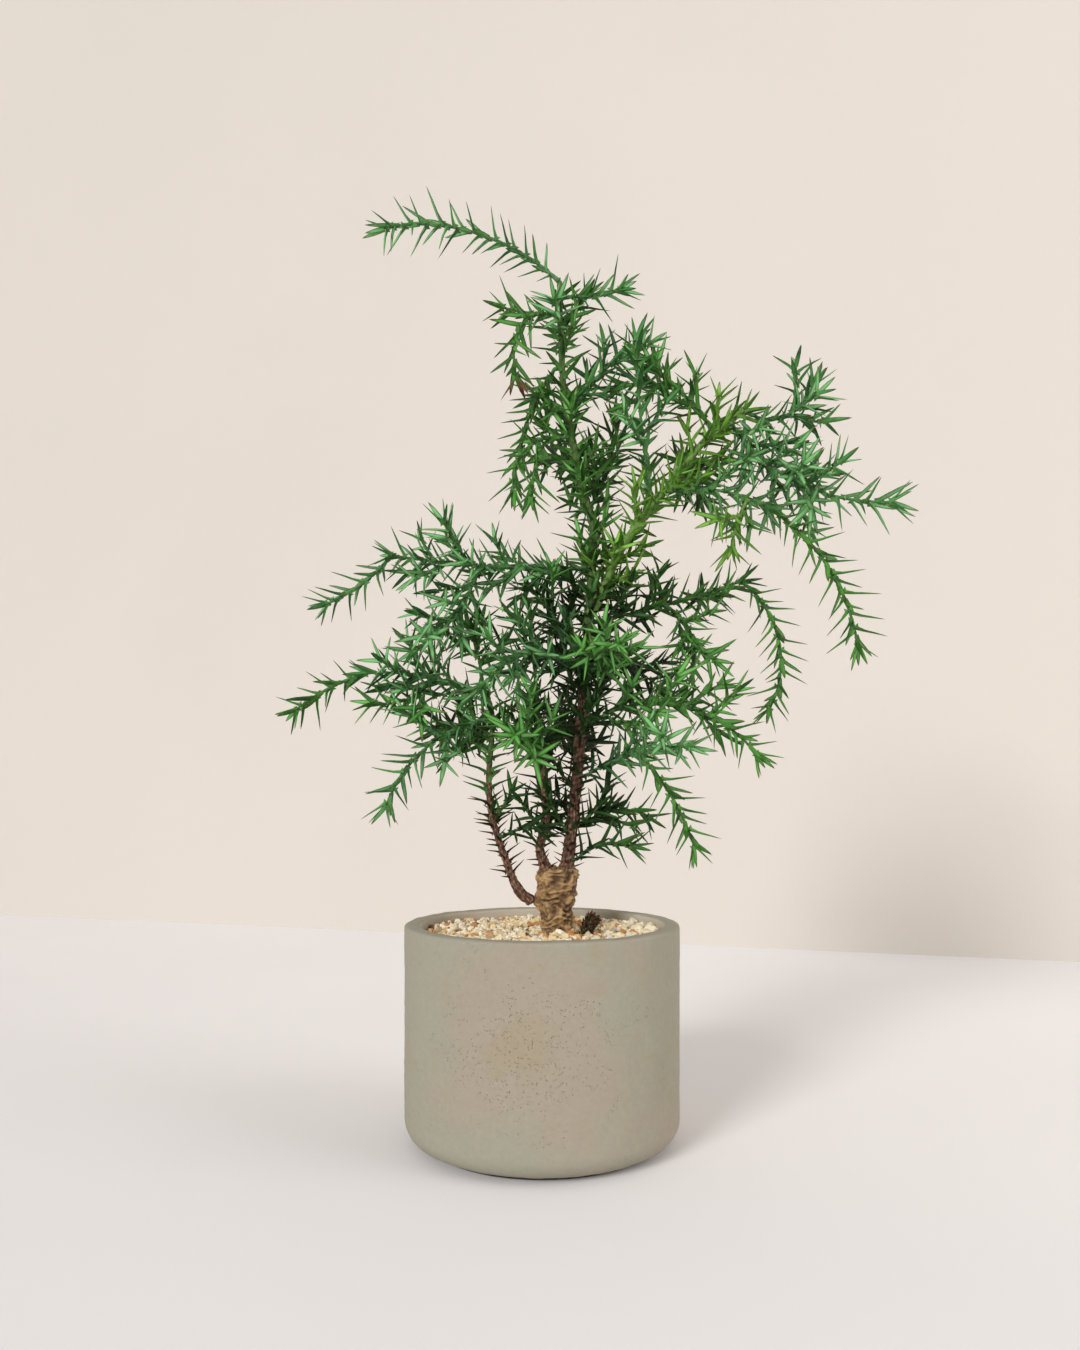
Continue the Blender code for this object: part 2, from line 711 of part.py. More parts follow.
def build_pad():
    """The dark felt pad that the pot stands on."""
    radius = POT_RADIUS - POT_FOOT_FILLET - PAD_MARGIN
    profile = [(0.0, 0.0), (radius, 0.0), (radius, PAD_THICKNESS), (0.0, PAD_THICKNESS)]
    felt = material("felt", (0.05, 0.045, 0.04), 0.95)
    return finish(turned_profile(profile, POT_SIDES), "base_pad", felt)


def build_ballast():
    """The plaster fill that weighs the pot down, with a socket for the trunk's peg."""
    radius = POT_INNER_RADIUS - GAP
    chamfer = POT_INNER_FILLET
    profile = [
        (0.0, FILL_BOTTOM),
        (radius - chamfer, FILL_BOTTOM),
        (radius, FILL_BOTTOM + chamfer),
        (radius, BALLAST_TOP),
        (0.0, BALLAST_TOP),
    ]
    plaster = material("plaster", (0.72, 0.69, 0.63), 0.9)
    ballast = finish(turned_profile(profile, FILL_SIDES), "ballast", plaster)
    top = BALLAST_TOP + GAP
    peg = TRUNK_PEG_RADIUS + SOCKET_CLEARANCE
    socket = [(0.0, TRUNK_BOTTOM - GAP), (peg, TRUNK_BOTTOM - GAP), (peg, top), (0.0, top)]
    cut(ballast, turned_profile(socket, FILL_SIDES, (TRUNK_X, 0.0)), "cut_peg_socket")
    for stem in STEMS:
        if stem.upright:
            x, y, _ = socket_line(stem)[0]
            hole = WIRE_RADIUS + WIRE_CLEARANCE
            low = WIRE_BOTTOM - GAP
            drill = [(0.0, low), (hole, low), (hole, top), (0.0, top)]
            cut(ballast, turned_profile(drill, WIRE_SIDES, (x, y)), f"cut_ballast_{stem.name}")
    return ballast


def build_foam():
    """The foam disc between the ballast and the gravel."""
    outer = POT_INNER_RADIUS - GAP
    inner = TRUNK_PEG_RADIUS + SOCKET_CLEARANCE
    profile = [(outer, FOAM_BOTTOM), (outer, FOAM_TOP), (0.0, FOAM_TOP)]
    foam = material("foam", (0.12, 0.20, 0.10), 0.95)
    disc = finish(turned_profile([(0.0, FOAM_BOTTOM), *profile], FILL_SIDES), "foam_disc", foam)
    hole = [
        (0.0, FOAM_BOTTOM - GAP),
        (inner, FOAM_BOTTOM - GAP),
        (inner, FOAM_TOP + GAP),
        (0.0, FOAM_TOP + GAP),
    ]
    cut(disc, turned_profile(hole, FILL_SIDES, (TRUNK_X, 0.0)), "cut_foam_hole")
    return disc


def build_gravel():
    """The glued gravel: an uneven crust with a hole for the trunk."""
    rng = np.random.default_rng(7)
    outer = POT_INNER_RADIUS - GAP
    shares = (0.0, 0.25, 0.45, 0.62, 0.78, 0.90, 1.0)
    profile = [(0.0, GRAVEL_BOTTOM), (outer, GRAVEL_BOTTOM)]
    profile += [(outer * share, GRAVEL_TOP) for share in reversed(shares)]
    made = turned_profile(profile, FILL_SIDES)
    for vert in made.verts:
        if vert.co.z > GRAVEL_TOP - GAP:
            vert.co.z -= GRAVEL_ROUGHNESS * rng.random()
    stones = material("gravel", (0.66, 0.56, 0.42), 0.9)
    gravel = finish(made, "gravel_bed", stones, sharp_deg=5.0)
    radius = TRUNK_PEG_RADIUS + SOCKET_CLEARANCE
    low = GRAVEL_BOTTOM - GAP
    high = GRAVEL_TOP + GAP
    hole = [(0.0, low), (radius, low), (radius, high), (0.0, high)]
    cut(gravel, turned_profile(hole, FILL_SIDES, (TRUNK_X, 0.0)), "cut_gravel_trunk")
    radius = STUB_RADIUS + GAP
    hole = [(0.0, low), (radius, low), (radius, high), (0.0, high)]
    cut(gravel, turned_profile(hole, 10, STUB_FOOT), "cut_gravel_stub")
    return gravel


def build_stub():
    """The dark dead stub that stands in the gravel beside the trunk."""
    x, y = STUB_FOOT
    points = [
        (x, y, GRAVEL_BOTTOM + GAP + STUB_RADIUS),
        (x, y, GRAVEL_TOP - 0.001),
        (x + 0.0012, y - 0.0006, GRAVEL_TOP + 0.0045),
        (x + 0.0042, y - 0.0010, GRAVEL_TOP + 0.0080),
    ]
    line = smooth_line(points, 0.003)
    radii = STUB_RADIUS * (1 - 0.45 * np.linspace(0, 1, len(line)) ** 2)
    bark = material("dead_wood", (0.035, 0.022, 0.015), 0.9)
    return finish(tube(line, radii, 8), "dead_stub", bark)


def build_trunk(limbs):
    """The moulded stump: a peg below the gravel, and sockets for the three stems above."""
    rise = TRUNK_ABOVE_GRAVEL
    edge = 0.0015
    profile = [
        (0.0, TRUNK_BOTTOM),
        (TRUNK_PEG_RADIUS, TRUNK_BOTTOM),
        (TRUNK_PEG_RADIUS, GRAVEL_TOP - 0.002),
        (TRUNK_NECK_RADIUS, GRAVEL_TOP + rise * 0.12),
        (TRUNK_NECK_RADIUS, GRAVEL_TOP + rise * 0.45),
        (TRUNK_TOP_RADIUS, GRAVEL_TOP + rise * 0.80),
        (TRUNK_TOP_RADIUS, TRUNK_TOP - edge),
        (TRUNK_TOP_RADIUS - edge, TRUNK_TOP),
        (0.0, TRUNK_TOP),
    ]
    bark = material("stump_bark", (0.20, 0.12, 0.065), 0.85)
    trunk = finish(turned_profile(profile, 24, (TRUNK_X, 0.0)), "trunk_base", bark)
    wire_hole = WIRE_RADIUS + WIRE_CLEARANCE
    for stem in STEMS:
        if not stem.upright:
            line = limbs[stem.name].line
            along = tangents(line)[0]
            boss = stem.radius + SOCKET_CLEARANCE + SIDE_SOCKET_WALL
            lobe = flat_tube(line[0] - along * BOSS_ROOT, line[0] + along * SIDE_SOCKET_DEPTH, boss, 16)
            cut(trunk, lobe, f"add_boss_{stem.name}", "UNION")
    for stem in STEMS:
        line = limbs[stem.name].line
        socket = stem.radius + SOCKET_CLEARANCE
        along = tangents(line)[0]
        start = line[0] - along * GAP
        if stem.upright:
            x, y, _ = line[0]
            top = TRUNK_TOP + GAP
            hole = [(0.0, start[2]), (socket, start[2]), (socket, top), (0.0, top)]
            cut(trunk, turned_profile(hole, 16, (x, y)), f"cut_socket_{stem.name}")
            low = TRUNK_BOTTOM - GAP
            high = start[2] + GAP
            drill = [(0.0, low), (wire_hole, low), (wire_hole, high), (0.0, high)]
            cut(trunk, turned_profile(drill, WIRE_SIDES, (x, y)), f"cut_wire_{stem.name}")
        else:
            drill = flat_tube(start, start + along * 2 * SIDE_SOCKET_DEPTH, socket, 16)
            cut(trunk, drill, f"cut_socket_{stem.name}")
    return trunk


def flat_tube(start, end, radius, sides):
    """A cylinder between two points."""
    along = Vector(end - start)
    made = bmesh.new()
    turn = along.to_track_quat("Z", "Y").to_matrix().to_4x4()
    place = Matrix.Translation(Vector((start + end) / 2)) @ turn
    bmesh.ops.create_cone(
        made,
        cap_ends=True,
        segments=sides,
        radius1=radius,
        radius2=radius,
        depth=along.length,
        matrix=place,
    )
    return made


def rings_within(line, length):
    """How many of a line's points lie within that length of its start."""
    travelled = np.cumsum(np.linalg.norm(np.diff(line, axis=0), axis=1))
    return int(np.searchsorted(travelled, length)) + 1


def build_stem(stem, limb):
    """A stem's sleeve, and the steel wire inside it."""
    green = material(f"bark_{stem.name}", stem.colour, 0.6)
    if not stem.wire:
        return finish(tube(limb.line, limb.radii, STEM_SIDES, limb.needles), stem.name, green)
    rings = rings_within(limb.line, stem.wire_length)
    bore = WIRE_RADIUS + WIRE_CLEARANCE
    made = sleeve(limb.line, limb.radii, bore, rings, STEM_SIDES, limb.needles)
    finish(made, stem.name, green)
    wire_line = limb.line[: rings - 1]
    if stem.upright:
        foot = np.array([(*limb.line[0, :2], WIRE_BOTTOM + WIRE_RADIUS)])
        wire_line = np.vstack([foot, wire_line])
    radii = np.full(len(wire_line), WIRE_RADIUS)
    wire_line[0] += tangents(wire_line)[0] * WIRE_RADIUS
    steel = material("steel_wire", (0.55, 0.55, 0.55), 0.35, 1.0)
    return finish(tube(wire_line, radii, WIRE_SIDES), stem.wire, steel)


def build_twig(twig, limb):
    """A branch or sprig, with its origin where it bends."""
    green = material(f"foliage_{twig.name}", twig.colour, 0.55)
    made = tube(limb.line, limb.radii, TWIG_SIDES, limb.needles)
    origin = limb.line[0] if limb.hinge_point is None else limb.hinge_point
    return finish(made, twig.name, green, origin)


def main():
    """Builds the whole tree."""
    clear_scene()
    limbs = all_limbs()
    grow_needles(limbs)
    build_pad()
    build_pot()
    build_ballast()
    build_foam()
    build_gravel()
    build_stub()
    build_trunk(limbs)
    for stem in STEMS + [FORK]:
        build_stem(stem, limbs[stem.name])
    for twig in TWIGS:
        build_twig(twig, limbs[twig.name])


main()
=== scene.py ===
"""Artificial tabletop tree: its finished looks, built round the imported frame.

Everything is in metres with +Z up, and the camera side of the tree is -Y. Each sub-assembly
is a class that holds its sizes, builds its meshes and dresses them. Each finish is a small
frozen class that builds one material.
"""

import json
import logging
import math
from dataclasses import dataclass, field
from enum import Enum

import bpy
import numpy as np
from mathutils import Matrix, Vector

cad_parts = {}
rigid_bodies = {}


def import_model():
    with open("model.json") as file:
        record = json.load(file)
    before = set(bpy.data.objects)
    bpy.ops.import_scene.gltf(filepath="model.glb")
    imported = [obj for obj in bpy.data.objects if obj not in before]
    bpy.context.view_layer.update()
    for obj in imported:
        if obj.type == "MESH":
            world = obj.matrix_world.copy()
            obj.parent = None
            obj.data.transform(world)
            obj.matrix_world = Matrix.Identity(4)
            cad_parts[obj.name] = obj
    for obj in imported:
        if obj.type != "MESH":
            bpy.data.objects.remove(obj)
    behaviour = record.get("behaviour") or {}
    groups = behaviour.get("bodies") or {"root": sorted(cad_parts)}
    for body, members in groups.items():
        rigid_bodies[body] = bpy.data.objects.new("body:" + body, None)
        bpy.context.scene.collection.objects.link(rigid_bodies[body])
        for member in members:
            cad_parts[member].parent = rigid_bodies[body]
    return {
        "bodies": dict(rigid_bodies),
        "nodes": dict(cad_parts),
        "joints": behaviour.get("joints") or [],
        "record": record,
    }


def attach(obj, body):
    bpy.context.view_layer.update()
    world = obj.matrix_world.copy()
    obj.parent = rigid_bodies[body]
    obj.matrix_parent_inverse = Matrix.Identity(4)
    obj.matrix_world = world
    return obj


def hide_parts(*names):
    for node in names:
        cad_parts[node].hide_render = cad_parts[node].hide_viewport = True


LOG = logging.getLogger("tabletop_tree")
Array = np.ndarray
Colour = tuple[float, float, float]
Point = tuple[float, float, float]
Socket = bpy.types.NodeSocket
GOLDEN_TURN = math.pi * (3.0 - math.sqrt(5.0))

# ---- Sizes shared with the frame -------------------------------------------------------
GAP = 0.0003
POT_BOTTOM = 0.0018
POT_TOP = POT_BOTTOM + 0.1025
POT_RADIUS = 0.066
POT_INNER_RADIUS = POT_RADIUS - 0.008
POT_FOOT_FILLET = 0.011
GRAVEL_TOP = POT_TOP - 0.005
TRUNK_X = 0.007
TRUNK_TOP = GRAVEL_TOP + 0.030


# ---- Mesh parts ------------------------------------------------------------------------
@dataclass
class Part:
    """Points, faces and per-point marks of one surface, before it joins a piece."""

    points: Array
    quads: Array
    tris: Array
    marks: dict[str, Array] = field(default_factory=dict)
    finish: int = 0


def ring_quads(rows: int, columns: int) -> Array:
    """Faces of a grid whose columns close into a ring: each joins two rows and two columns.

    Args:
        rows: Number of rings.
        columns: Number of points in each ring.

    Returns:
        The corner numbers of each quad, facing out when columns run anticlockwise.
    """
    row = np.arange(rows - 1)[:, None] * columns
    column = np.arange(columns)[None, :]
    after = (column + 1) % columns
    corners = [row + column, row + after, row + columns + after, row + columns + column]
    return np.stack(corners, axis=-1).reshape(-1, 4)


def closed_grid(rings: Array, start: Array, end: Array, finish: int = 0) -> Part:
    """A surface through rings of points, closed at each end by one pole.

    Args:
        rings: Points of shape (rows, columns, 3).
        start: The pole under the first ring.
        end: The pole over the last ring.
        finish: Which of the piece's materials it takes.

    Returns:
        The part, with no marks.
    """
    rows, columns = rings.shape[:2]
    points = np.vstack([rings.reshape(-1, 3), start, end])
    column = np.arange(columns)
    after = (column + 1) % columns
    low = np.full(columns, rows * columns)
    last = (rows - 1) * columns
    tris = np.vstack(
        [
            np.stack([low, after, column], axis=1),
            np.stack([low + 1, last + column, last + after], axis=1),
        ]
    )
    return Part(points, ring_quads(rows, columns), tris, finish=finish)


def turned(profile: Array, columns: int) -> Array:
    """Rings of points from a half section turned about the upright axis.

    Args:
        profile: Points of (radius, height).
        columns: Number of points in each ring.

    Returns:
        Points of shape (len(profile), columns, 3).
    """
    angle = 2 * math.pi * np.arange(columns) / columns
    height = np.broadcast_to(profile[:, 1:], (len(profile), columns))
    return np.stack([profile[:, :1] * np.cos(angle), profile[:, :1] * np.sin(angle), height], axis=2)


def make_piece(name: str, parts: list[Part], materials: list, sharp_deg: float = 50.0) -> bpy.types.Object:
    """Joins parts into one object at the origin, with their marks as point attributes.

    Args:
        name: The piece's name.
        parts: The surfaces that make it up.
        materials: Its materials, in the order that the parts count them.
        sharp_deg: Edges that bend more than this stay crisp.

    Returns:
        The linked object.
    """
    offsets = np.cumsum([0] + [len(part.points) for part in parts])
    points = np.vstack([part.points for part in parts]).astype(np.float32)
    quads = np.vstack([part.quads + start for part, start in zip(parts, offsets)])
    tris = np.vstack([part.tris + start for part, start in zip(parts, offsets)])
    finishes = [np.full(len(part.quads), part.finish) for part in parts]
    finishes += [np.full(len(part.tris), part.finish) for part in parts]
    loops = np.concatenate([quads.ravel(), tris.ravel()]).astype(np.int32)
    starts = np.concatenate([np.arange(len(quads)) * 4, len(quads) * 4 + np.arange(len(tris)) * 3])
    mesh = bpy.data.meshes.new(name)
    mesh.vertices.add(len(points))
    mesh.vertices.foreach_set("co", points.ravel())
    mesh.loops.add(len(loops))
    mesh.loops.foreach_set("vertex_index", loops)
    mesh.polygons.add(len(starts))
    mesh.polygons.foreach_set("loop_start", starts.astype(np.int32))
    for material in materials:
        mesh.materials.append(material)
    mesh.polygons.foreach_set("material_index", np.concatenate(finishes).astype(np.int32))
    mesh.update(calc_edges=True)
    for mark in sorted({key for part in parts for key in part.marks}):
        values = [part.marks.get(mark, np.zeros(len(part.points))) for part in parts]
        attribute = mesh.attributes.new(mark, "FLOAT", "POINT")
        attribute.data.foreach_set("value", np.concatenate(values).astype(np.float32))
    mesh.validate()
    mesh.shade_smooth()
    mesh.set_sharp_from_angle(angle=math.radians(sharp_deg))
    piece = bpy.data.objects.new(name, mesh)
    bpy.context.scene.collection.objects.link(piece)
    return piece


def place_piece(piece: bpy.types.Object, body: str, slot: str, *nodes: str) -> bpy.types.Object:
    """Rides a piece on its body and hides the nodes that it stands for.

    Args:
        piece: The finished piece.
        body: The body that it moves with.
        slot: The record's material slot; not used.
        nodes: The frame's nodes that it replaces.

    Returns:
        The same piece.
    """
    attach(piece, body)
    if nodes:
        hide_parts(*nodes)
    LOG.info("%s: %d faces on %s", piece.name, len(piece.data.polygons), body)
    return piece


# ---- Shape helpers ---------------------------------------------------------------------
def smoothstep(value: Array, low: float, high: float) -> Array:
    """An even S-curve from nought at low to one at high: 3t² - 2t³.

    Args:
        value: The values to ease.
        low: Where the curve starts.
        high: Where it ends.

    Returns:
        The eased values.
    """
    share = np.clip((value - low) / (high - low), 0.0, 1.0)
    return share * share * (3.0 - 2.0 * share)


def ripple(points: Array, wavelength: float, seed: int, waves: int = 12) -> Array:
    """Soft uneven height over space: the mean of sine waves in seeded random directions.

    Args:
        points: Places, with their coordinates on the last axis.
        wavelength: The typical distance between two crests.
        seed: Seed of the directions and phases.
        waves: How many waves are summed.

    Returns:
        Values of about -1 to 1, one for each place.
    """
    rng = np.random.default_rng(seed)
    ways = rng.normal(size=(waves, 3))
    ways *= (2 * math.pi / wavelength * rng.uniform(0.6, 1.6, waves) / np.linalg.norm(ways, axis=1))[:, None]
    phases = rng.uniform(0, 2 * math.pi, waves)
    return np.sin(points @ ways.T + phases).sum(axis=-1) / math.sqrt(waves)


def unit(vectors: Array) -> Array:
    """Vectors at length one, along the last axis."""
    return vectors / np.linalg.norm(vectors, axis=-1, keepdims=True)


def smooth_line(points: list | Array, step: float) -> Array:
    """Points about one step apart on the Catmull-Rom curve through the given points.

    Between two given points the curve is a cubic in t whose slope at each of them is half
    the difference of its two neighbours.

    Args:
        points: The given points.
        step: The distance between new points.

    Returns:
        The curve's points, ending on the last given point.
    """
    given = np.array(points, float)
    ends = np.vstack([2 * given[0] - given[1], given, 2 * given[-1] - given[-2]])
    rows = []
    for i in range(1, len(ends) - 2):
        before, here, there, after = ends[i - 1 : i + 3]
        count = max(1, round(np.linalg.norm(there - here) / step))
        t = np.arange(count)[:, None] / count
        rows.append(
            here
            + 0.5 * t * (there - before)
            + t**2 * (before - 2.5 * here + 2 * there - 0.5 * after)
            + t**3 * (-0.5 * before + 1.5 * here - 1.5 * there + 0.5 * after)
        )
    rows.append(given[-1:])
    return np.vstack(rows)


def tangents(line: Array) -> Array:
    """The unit direction of a line at each point: from the point before to the one after.

    Args:
        line: The line's points.

    Returns:
        One direction for each point.
    """
    after = np.vstack([line[1:], 2 * line[-1] - line[-2]])
    before = np.vstack([2 * line[0] - line[1], line[:-1]])
    return unit(after - before)


@dataclass
class Path:
    """A centre line with a frame carried along it without twisting."""

    line: Array
    along: Array = field(init=False)
    across: Array = field(init=False)
    up: Array = field(init=False)
    travelled: Array = field(init=False)

    def __post_init__(self) -> None:
        """Works out the directions and the distance travelled at each point."""
        self.along = tangents(self.line)
        start = np.cross(self.along[0], (0.0, 0.0, 1.0))
        if np.linalg.norm(start) < 0.1:
            start = np.array((1.0, 0.0, 0.0))
        across = [unit(start - self.along[0] * np.dot(start, self.along[0]))]
        for tangent in self.along[1:]:
            across.append(unit(across[-1] - tangent * np.dot(across[-1], tangent)))
        self.across = np.array(across)
        self.up = np.cross(self.along, self.across)
        steps = np.linalg.norm(np.diff(self.line, axis=0), axis=1)
        self.travelled = np.concatenate([[0.0], np.cumsum(steps)])

    @property
    def length(self) -> float:
        """The path's whole length."""
        return float(self.travelled[-1])

    def at(self, distances: Array) -> tuple[Array, Array, Array, Array]:
        """Centre, direction and the two side vectors at distances along the path.

        Args:
            distances: Distances from the path's start.

        Returns:
            Four arrays of shape (len(distances), 3).
        """
        found = [
            np.stack([np.interp(distances, self.travelled, values[:, k]) for k in range(3)], axis=1)
            for values in (self.line, self.along, self.across, self.up)
        ]
        return found[0], unit(found[1]), unit(found[2]), unit(found[3])

    def tube(self, radius: Array, finish: int = 0) -> Part:
        """A tube whose radius is given for each point and each turn of the grid.

        A point of ring i at angle a is centre + radius·(across·cos a + up·sin a).

        Args:
            radius: Radii of shape (points, sides).
            finish: Which of the piece's materials it takes.

        Returns:
            The tube, closed at both ends, marked with its share of the length.
        """
        angle = 2 * math.pi * np.arange(radius.shape[1]) / radius.shape[1]
        ways = self.across[:, None] * np.cos(angle)[:, None] + self.up[:, None] * np.sin(angle)[:, None]
        rings = self.line[:, None] + ways * radius[:, :, None]
        start = self.line[0] - self.along[0] * radius[0].mean() * 0.6
        end = self.line[-1] + self.along[-1] * radius[-1].mean() * 0.8
        part = closed_grid(rings, start, end, finish)
        share = np.repeat(self.travelled / self.length, radius.shape[1])
        part.marks["along"] = np.concatenate([share, [0.0, 1.0]])
        return part


# ---- Finishes --------------------------------------------------------------------------
class Graph:
    """A material's node tree, built up one step at a time."""

    def __init__(self, name: str) -> None:
        """Starts a material with one Principled shader.

        Args:
            name: The material's name.
        """
        self.material = bpy.data.materials.new(name)
        self.material.use_nodes = True
        self.tree = self.material.node_tree
        self.shader = self.tree.nodes["Principled BSDF"]

    def node(self, kind: str, **settings: object) -> bpy.types.Node:
        """Adds a node and sets its properties.

        Args:
            kind: The node's type name.
            settings: Properties to set on it.

        Returns:
            The node.
        """
        made = self.tree.nodes.new(kind)
        for key, value in settings.items():
            setattr(made, key, value)
        return made

    def feed(self, socket: Socket, value: object) -> None:
        """Links a socket to a socket, or sets a plain value or colour on it.

        Args:
            socket: The input.
            value: A socket, a number or a colour.
        """
        if isinstance(value, bpy.types.NodeSocket):
            self.tree.links.new(value, socket)
        elif isinstance(value, tuple) and len(value) == 3 and socket.type == "RGBA":
            socket.default_value = (*value, 1.0)
        else:
            socket.default_value = value

    def mark(self, name: str) -> Socket:
        """The value of one of the piece's own attributes."""
        return self.node("ShaderNodeAttribute", attribute_name=name).outputs["Fac"]

    def where(self, stretch: Point = (1.0, 1.0, 1.0), turn: Point = (0.0, 0.0, 0.0)) -> Socket:
        """The piece's own object coordinates, stretched and turned.

        Args:
            stretch: Scale along each axis.
            turn: Rotation in radians.

        Returns:
            The vector output.
        """
        source = self.node("ShaderNodeTexCoord").outputs["Object"]
        mapping = self.node("ShaderNodeMapping")
        self.feed(mapping.inputs["Vector"], source)
        mapping.inputs["Scale"].default_value = stretch
        mapping.inputs["Rotation"].default_value = turn
        return mapping.outputs["Vector"]

    def noise(self, where: Socket, scale: float, detail: float = 4.0, rough: float = 0.55) -> Socket:
        """Cloudy noise over a vector.

        Args:
            where: The vector.
            scale: Features for each metre.
            detail: Octaves.
            rough: How strong the finer octaves are.

        Returns:
            The factor output.
        """
        made = self.node("ShaderNodeTexNoise")
        self.feed(made.inputs["Vector"], where)
        made.inputs["Scale"].default_value = scale
        made.inputs["Detail"].default_value = detail
        made.inputs["Roughness"].default_value = rough
        return made.outputs["Fac"]

    def cells(self, where: Socket, scale: float) -> Socket:
        """How far each place is from the nearest of many scattered points.

        Args:
            where: The vector.
            scale: Points for each metre.

        Returns:
            The distance output.
        """
        made = self.node("ShaderNodeTexVoronoi", feature="F1")
        self.feed(made.inputs["Vector"], where)
        made.inputs["Scale"].default_value = scale
        return made.outputs["Distance"]

    def near(self, place: Point) -> Socket:
        """How far the surface is from a place on the piece.

        Args:
            place: The place, in the piece's own coordinates.

        Returns:
            The distance output.
        """
        made = self.node("ShaderNodeVectorMath", operation="DISTANCE")
        self.feed(made.inputs[0], self.where())
        made.inputs[1].default_value = place
        return made.outputs["Value"]

    def math(self, operation: str, first: object, second: object = 0.0) -> Socket:
        """One arithmetic step.

        Args:
            operation: The Math node's operation.
            first: Its first input.
            second: Its second input.

        Returns:
            The result.
        """
        made = self.node("ShaderNodeMath", operation=operation)
        self.feed(made.inputs[0], first)
        self.feed(made.inputs[1], second)
        return made.outputs[0]

    def between(self, value: Socket, low: float, high: float, to: tuple = (0.0, 1.0)) -> Socket:
        """Eases a value between two bounds.

        Args:
            value: The value.
            low: The value that gives the first result.
            high: The value that gives the second.
            to: The two results.

        Returns:
            The eased value.
        """
        made = self.node("ShaderNodeMapRange", interpolation_type="SMOOTHSTEP")
        self.feed(made.inputs["Value"], value)
        for name, setting in zip(("From Min", "From Max", "To Min", "To Max"), (low, high, *to)):
            made.inputs[name].default_value = setting
        return made.outputs["Result"]

    def mix(self, factor: object, first: object, second: object, how: str = "MIX") -> Socket:
        """Mixes two colours.

        Args:
            factor: Share of the second.
            first: The first colour.
            second: The second colour.
            how: The blend type.

        Returns:
            The mixed colour.
        """
        made = self.node("ShaderNodeMix", data_type="RGBA", blend_type=how)
        self.feed(made.inputs["Factor"], factor)
        colours = [socket for socket in made.inputs if socket.type == "RGBA"]
        self.feed(colours[0], first)
        self.feed(colours[1], second)
        return [socket for socket in made.outputs if socket.type == "RGBA"][0]

    def ramp(self, factor: Socket, stops: list[tuple[float, Colour]], stepped: bool = False) -> Socket:
        """Looks a value up on a colour ramp.

        Args:
            factor: The value.
            stops: Positions and colours.
            stepped: Whether colours change in steps.

        Returns:
            The colour.
        """
        made = self.node("ShaderNodeValToRGB")
        made.color_ramp.interpolation = "CONSTANT" if stepped else "LINEAR"
        elements = made.color_ramp.elements
        while len(elements) < len(stops):
            elements.new(0.5)
        for element, (position, colour) in zip(elements, stops):
            element.position = position
            element.color = (*colour, 1.0)
        self.feed(made.inputs["Fac"], factor)
        return made.outputs["Color"]

    def bump(self, height: Socket, depth: float, strength: float = 1.0) -> None:
        """Raises the surface by a height pattern.

        Args:
            height: The pattern, from nought to one.
            depth: The height that one stands for, in metres.
            strength: How much of it shows.
        """
        made = self.node("ShaderNodeBump")
        made.inputs["Distance"].default_value = depth
        made.inputs["Strength"].default_value = strength
        self.feed(made.inputs["Height"], height)
        self.feed(self.shader.inputs["Normal"], made.outputs["Normal"])

    def done(self, colour: object, roughness: object, specular: float = 0.5) -> bpy.types.Material:
        """Feeds the shader and hands back the material.

        Args:
            colour: The base colour.
            roughness: The roughness.
            specular: The specular level.

        Returns:
            The material.
        """
        self.feed(self.shader.inputs["Base Color"], colour)
        self.feed(self.shader.inputs["Roughness"], roughness)
        self.shader.inputs["Specular IOR Level"].default_value = specular
        return self.material


